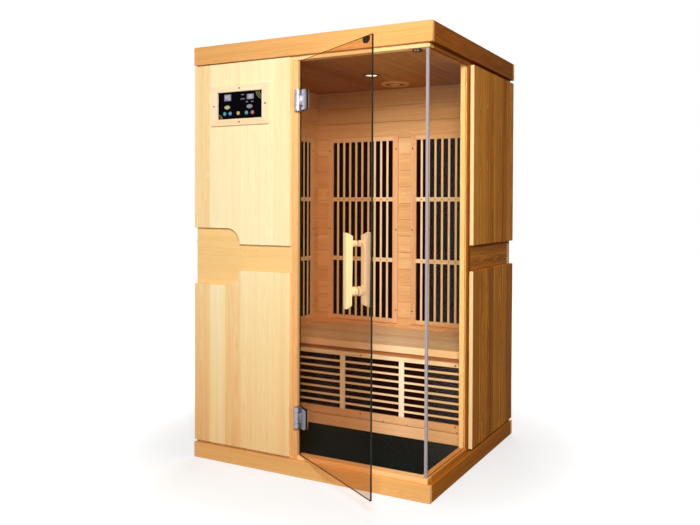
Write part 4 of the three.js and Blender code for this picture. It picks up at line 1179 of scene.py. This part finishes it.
def digit(character, left, low, width, height, face, rise):
    stroke = 0.2 * width
    parts = []
    for name in digitStrokes[character]:
        x, z, level = segmentPlaces[name]
        centreX, centreZ = left + x * width, low + z * height / 2
        halfX, halfZ = (width / 2 - stroke * 0.35, stroke / 2) if level else (stroke / 2, height / 4 - stroke * 0.35)
        parts.append(board((centreX - halfX, face - rise, centreZ - halfZ),
                           (centreX + halfX, face, centreZ + halfZ), 0 if level else 2, 0.15 * mm))
    return parts


def makePlate():
    look = panelFaceLook
    lo, hi = span("control_plate")
    plate = board(lo, hi, 0, 0.6 * mm)
    makePiece("control_face", [plate], blackGloss, "cabin", ["control_plate"])
    face = lo[1]
    rise = look["markRise"]
    windows, strokes = [], []
    for (low, high), text in zip((look["leftDisplay"], look["rightDisplay"]), look["digits"]):
        (x0, z0), (x1, z1) = np.array(low) * mm, np.array(high) * mm
        windows.append(board((x0, face - rise, z0), (x1, face, z1), 0, 0.2 * mm))
        height = (z1 - z0) * 0.62
        width = height * 0.5
        for k, character in enumerate(text):
            left = (x0 + x1) / 2 + (k - 0.5) * width * 1.75 - width / 2
            strokes += digit(character, left, (z0 + z1 - height) / 2, width, height, face - rise, rise)
    makePiece("display_windows", windows, displayDim, "cabin")
    makePiece("display_digits", strokes, displayGlow, "cabin")
    ovals = [ovalMark(np.array(middle) * mm, np.array(half) * mm, face, rise * 2)
             for middle, half in (look["leftOval"], look["rightOval"])]
    makePiece("left_oval", ovals[:1], markCream, "cabin")
    dashes = [board((x - half, face - rise, z - look["dashHeight"] / 2), (x + half, face, z + look["dashHeight"] / 2),
                    0, 0.3 * mm) for x, z, half in np.array(look["dashes"]) * mm]
    makePiece("grey_marks", ovals[1:] + dashes, displayDim, "cabin")
    frameLo, frameHi = lo + 4 * mm, hi - 4 * mm
    arcs = [cornerArc((frameHi[0] - 1 * mm, frameHi[2] - 1 * mm), r, np.pi, look["line"], face, rise)
            for r in look["highArcs"]]
    arcs += [cornerArc((frameLo[0] + 1 * mm, frameLo[2] + 1 * mm), r, 0, look["line"], face, rise)
             for r in look["lowArcs"]]
    makePiece("corner_lines", arcs, markGold, "cabin")


# Button: a turned cap with a dished top.
def makeButtons():
    slots = {part["node"]: part["material_slot"] for part in frame["record"]["subparts"]}
    plateFace = span("control_plate")[0][1]
    for node in ("temperature_up_button", "temperature_down_button", "power_button", "time_up_button",
                 "time_down_button"):
        lo, hi = span(node)
        centre = np.array([(lo[0] + hi[0]) / 2, plateFace, (lo[2] + hi[2]) / 2])
        radius, proud = 8.5 * mm, plateFace - lo[1]
        t = np.linspace(0, np.pi / 2, 5)
        rim = np.stack([radius - 1.4 * mm + 1.4 * mm * np.cos(t), -proud + 1.4 * mm - 1.4 * mm * np.sin(t)], axis=-1)
        dish = [(radius * 0.6, -proud + 0.25 * mm), (radius * 0.3, -proud + 0.5 * mm), (0.4 * mm, -proud + 0.55 * mm)]
        back = hi[1] - plateFace
        profile = [(0.4 * mm, back), (radius + 2 * mm, back), (radius + 2 * mm, back - 2 * mm),
                   (radius, back - 2 * mm), *rim, *dish]
        makePiece(node + "_cap", [turned(profile, centre, 1, 36)], buttonFinish[slots[node]], node + "_body",
                  [node])


makeBezel()
makePlate()
makeButtons()
print("control panel made")


# Door, written shut in the hinge's own frame and then swung to where it stands at rest

doorJoint = next(joint for joint in frame["joints"] if joint["name"] == "door_swing")
hingeAxis = np.array([*doorJoint["pos_m"][:2], 0.0])
openAngle = math.radians(doorJoint["range_deg"][0])  # from shut to rest
doorLook = {
    "paneFrom": -5 * mm, "paneTo": 597 * mm, "outer": 14 * mm, "glass": 8 * mm, "arris": 0.8 * mm,
    "notchDepth": 25 * mm, "notchMargin": 1 * mm,
    "handleAt": 488 * mm, "handleWidth": 30 * mm, "handleThickness": 26 * mm, "standoff": 22 * mm,
    "slant": 13 * mm, "hollow": 2 * mm, "headScale": 1.07, "footScale": 0.9, "handleRound": 4 * mm,
    "lowStandoff": 18 * mm, "highStandoff": 12 * mm, "standoffSpacing": 180 * mm, "standoffRise": 11 * mm,
    "strikeAt": 542 * mm, "strikeWidth": 48 * mm, "strikeHeight": 24 * mm, "strikeThickness": 3 * mm,
    # The inner bar's tone is much paler than the outer's: painted light behind the tinted glass.
    "handleTone": {"outer": 0.34, "inner": 0.02},
}


def onDoor(part):
    part["points"] = part["points"] + hingeAxis
    return swung(part, hingeAxis, openAngle)


# Pane: the hinge edge, notched round each hinge, and the free edge form its outline, which is carried
# through the thickness of the glass.
def makePane():
    look = doorLook
    lo, hi = span("door_glass")
    near, inset, far = look["paneFrom"], look["paneFrom"] + look["notchDepth"], look["paneTo"]
    slope = 5 * mm
    hingeEdge, freeEdge = [(near, lo[2])], [(far, lo[2])]
    for level in ("lower", "upper"):
        leafLo, leafHi = span(f"hinge_leaf_{level}")
        low, high = leafLo[2] - look["notchMargin"], leafHi[2] + look["notchMargin"]
        hingeEdge += [(near, low), (inset, low), (inset, high), (near, high)]
        freeEdge += [(far, z) for z in (low - slope, low + slope, high - slope, high + slope)]
    hingeEdge.append((near, hi[2]))
    freeEdge.append((far, hi[2]))
    pane = carried(hingeEdge, freeEdge, 1, look["outer"], look["outer"] + look["glass"])
    axis = np.array([-math.sin(openAngle), math.cos(openAngle), 0])
    makePiece("door_pane", [onDoor(pane)], [doorGlass, glassEdge], "door", ["door_glass"],
              pick=paneFaces(axis), bevel=look["arris"])


# Handle bar: a rounded section carried up the bar and drawn in towards its foot, with a scale of
# a + (b - a) s. Both ends are cut on the slant and hollowed,
# z = z0 + (s - 1/2) (H - 2 k g - 2 h (1 - (2 g - 1)^2)), where k is the slant, h the hollow's depth and
# g runs from 1 on the glass side to 0 on the far side.
def handleBar(middleZ, height, near, outward, tone):
    look = doorLook
    s = np.linspace(0, 1, 33)[:, None]
    steps = 6
    quarter = np.linspace(0, np.pi / 2, steps + 1)
    turn = np.concatenate([np.pi - quarter, np.pi / 2 - quarter, -quarter, -np.pi / 2 - quarter])
    r = look["handleRound"]
    halfX, halfD = look["handleWidth"] / 2 - r, look["handleThickness"] / 2 - r
    cornerX = np.repeat([-halfX, halfX, halfX, -halfX], steps + 1)
    cornerD = np.repeat([halfD, halfD, -halfD, -halfD], steps + 1)
    x = cornerX + r * np.cos(turn)
    d = cornerD + r * np.sin(turn)  # positive away from the glass
    g = 0.5 - d / look["handleThickness"]
    scale = look["footScale"] + (look["headScale"] - look["footScale"]) * s
    cutBack = 2 * look["slant"] * g + 2 * look["hollow"] * (1 - (2 * g - 1) ** 2)
    grid = np.empty((len(s), len(turn), 3))
    grid[..., 0] = look["handleAt"] + scale * x
    grid[..., 1] = near + outward * (look["handleThickness"] / 2 + scale * d)
    grid[..., 2] = middleZ + (s - 0.5) * (height - cutBack)
    points, faces = skin(grid)
    return {"points": points, "faces": faces, "normals": None, "grain": grainOf(points, 2, 0, 1),
            "tone": np.full(len(points), tone)}


def makeHandles():
    look = doorLook
    lo, hi = span("handle_outer")
    middle, height = (lo[2] + hi[2]) / 2, hi[2] - lo[2]
    plugs = []
    for side, outward, face in (("outer", -1, look["outer"]), ("inner", 1, look["outer"] + look["glass"])):
        near = face + outward * look["standoff"]
        tone = look["handleTone"][side]
        parts = [handleBar(middle, height, near, outward, tone)]
        for end, r in ((-1, look["lowStandoff"]), (1, look["highStandoff"])):
            centre = np.array([look["handleAt"], face + outward * 0.5 * mm,
                               middle + look["standoffRise"] + end * look["standoffSpacing"] / 2])
            reach = outward * (look["standoff"] + 3 * mm)
            foot = outward * 1.5 * mm
            profile = [(1 * mm, 0), (r - 1 * mm, 0), (r, foot), (r, reach), (1 * mm, reach)]
            parts.append(turned(profile, centre, 1, 40, tone + 0.06))
            head = centre + np.array([r * 0.96, outward * look["standoff"] * 0.5, 0])
            plugs.append(onDoor(screw(head, 0, 1, 2.6 * mm)))
        parts = [onDoor(part) for part in parts]
        finish = handleWood if side == "outer" else brightenedHandleWood
        makePiece(f"{side}_handle_bar", parts, finish, "door", [f"handle_{side}"], bevel=0.8 * mm)
    makePiece("handle_screws", plugs, screwSteel, "door")


# Strike plate: a D with a straight top, its lower edge half an ellipse.
def makeStrike():
    look = doorLook
    hi = span("door_glass")[1][2]
    t = np.linspace(np.pi, 0, 25)
    half = look["strikeWidth"] / 2
    shoulder = hi - look["strikeHeight"] * 0.45
    bottom = np.stack([look["strikeAt"] + half * np.cos(t), shoulder - look["strikeHeight"] * 0.55 * np.sin(t)], axis=-1)
    top = np.stack([bottom[:, 0], np.full(len(t), hi - 0.3 * mm)], axis=-1)
    inner = look["outer"] + look["glass"] + 0.5 * mm
    plate = onDoor(carried(bottom, top, 1, inner, inner + look["strikeThickness"]))
    makePiece("strike_plate_black", [plate], blackPlastic, "door", ["strike_plate"], bevel=0.5 * mm)


hingeLook = {"knuckle": 13 * mm, "end": 23 * mm, "middle": 46 * mm, "cap": 3 * mm, "clampTo": 60 * mm,
             "clampFrom": 15.5 * mm, "outerFrom": 10 * mm, "plate": 4 * mm, "setback": 2 * mm, "gap": 0.5 * mm, "leafReach": 11.5 * mm}


def knuckle(low, high, radius):
    c = 1.2 * mm
    return [(1 * mm, low), (radius - c, low), (radius, low + c), (radius, high - c), (radius - c, high),
            (1 * mm, high)]


def makeHinges():
    look = hingeLook
    door = doorLook
    for level in ("lower", "upper"):
        lo, hi = span(f"hinge_leaf_{level}")
        middle = (lo[2] + hi[2]) / 2
        centre = np.array([0, 0, middle])
        halfMid, halfAll = look["middle"] / 2, look["middle"] / 2 + look["end"]
        leaf = []
        for sign in (-1, 1):
            a, b = sorted((sign * (halfMid + 0.2 * mm), sign * halfAll))
            ring = turned(knuckle(a, b, look["knuckle"]), centre, 2, 40)
            ring["points"] = ring["points"] + hingeAxis
            leaf.append(ring)
        jambX = span("door_jamb")[1][0] + look["gap"]
        backY = span("door_jamb")[0][1] + look["leafReach"]
        leaf.append(board((jambX, hingeAxis[1] + look["knuckle"] * 0.7, lo[2]),
                          (jambX + look["plate"], backY, hi[2]), 2, 1 * mm))
        makePiece(f"hinge_leaf_{level}_chrome", leaf, chrome, "cabin", [f"hinge_leaf_{level}"])
        reach = halfAll - look["setback"]
        clamp = [turned(knuckle(-halfMid + 0.2 * mm, halfMid - 0.2 * mm, look["knuckle"]), centre, 2, 40)]
        faces = (door["outer"] - look["gap"] - look["plate"], door["outer"] + door["glass"] + look["gap"])
        for y, start in zip(faces, (look["outerFrom"], look["clampFrom"])):
            clamp.append(roundedPlate(start, look["clampTo"], y, y + look["plate"], middle, reach))
        web = board((look["clampFrom"], faces[0], middle - reach), (look["clampFrom"] + look["plate"],
                    faces[1] + look["plate"], middle + reach), 2, 1 * mm)
        arm = board((2 * mm, faces[0] - look["plate"], middle - halfMid + look["gap"]),
                    (look["clampFrom"] + look["plate"], faces[0] + look["plate"], middle + halfMid - look["gap"]),
                    2, 1 * mm)
        clamp += [web, arm]
        makePiece(f"hinge_clamp_{level}_chrome", [onDoor(part) for part in clamp], chrome, "door",
                  [f"hinge_clamp_{level}"])


# Plate with its two far corners rounded: x follows a quarter circle at the top and the bottom,
# x = X - R + R cos f at z = Z - R + R sin f.
def roundedPlate(x0, x1, y0, y1, middle, reach):
    radius = 12 * mm
    f = np.linspace(-np.pi / 2, np.pi / 2, 19)
    far = np.stack([x1 - radius + radius * np.cos(f), np.sign(np.sin(f)) * (reach - radius) + radius * np.sin(f)], axis=-1)
    near = np.stack([np.full(len(f), x0), np.interp(np.linspace(-1, 1, len(f)), [-1, 1], [-reach, reach])], axis=-1)
    far[:, 1] += middle
    near[:, 1] += middle
    return carried(near, far, 1, y0, y1)


def makeCatch():
    lo, hi = span("door_catch")
    body = board(lo, hi, 0, 2 * mm)
    makePiece("magnet_catch", [body], blackPlastic, "cabin", ["door_catch"])
    third = (hi[0] - lo[0]) / 3
    pads = [board((x - 4 * mm, lo[1] - 0.4 * mm, lo[2] + 2.5 * mm), (x + 4 * mm, lo[1] + 1 * mm, hi[2] - 3 * mm), 0,
                  0.4 * mm) for x in (lo[0] + third, hi[0] - third)]
    makePiece("catch_pads", pads, bradBrass, "cabin")


makePane()
makeHandles()
makeStrike()
makeHinges()
makeCatch()
print("door made")
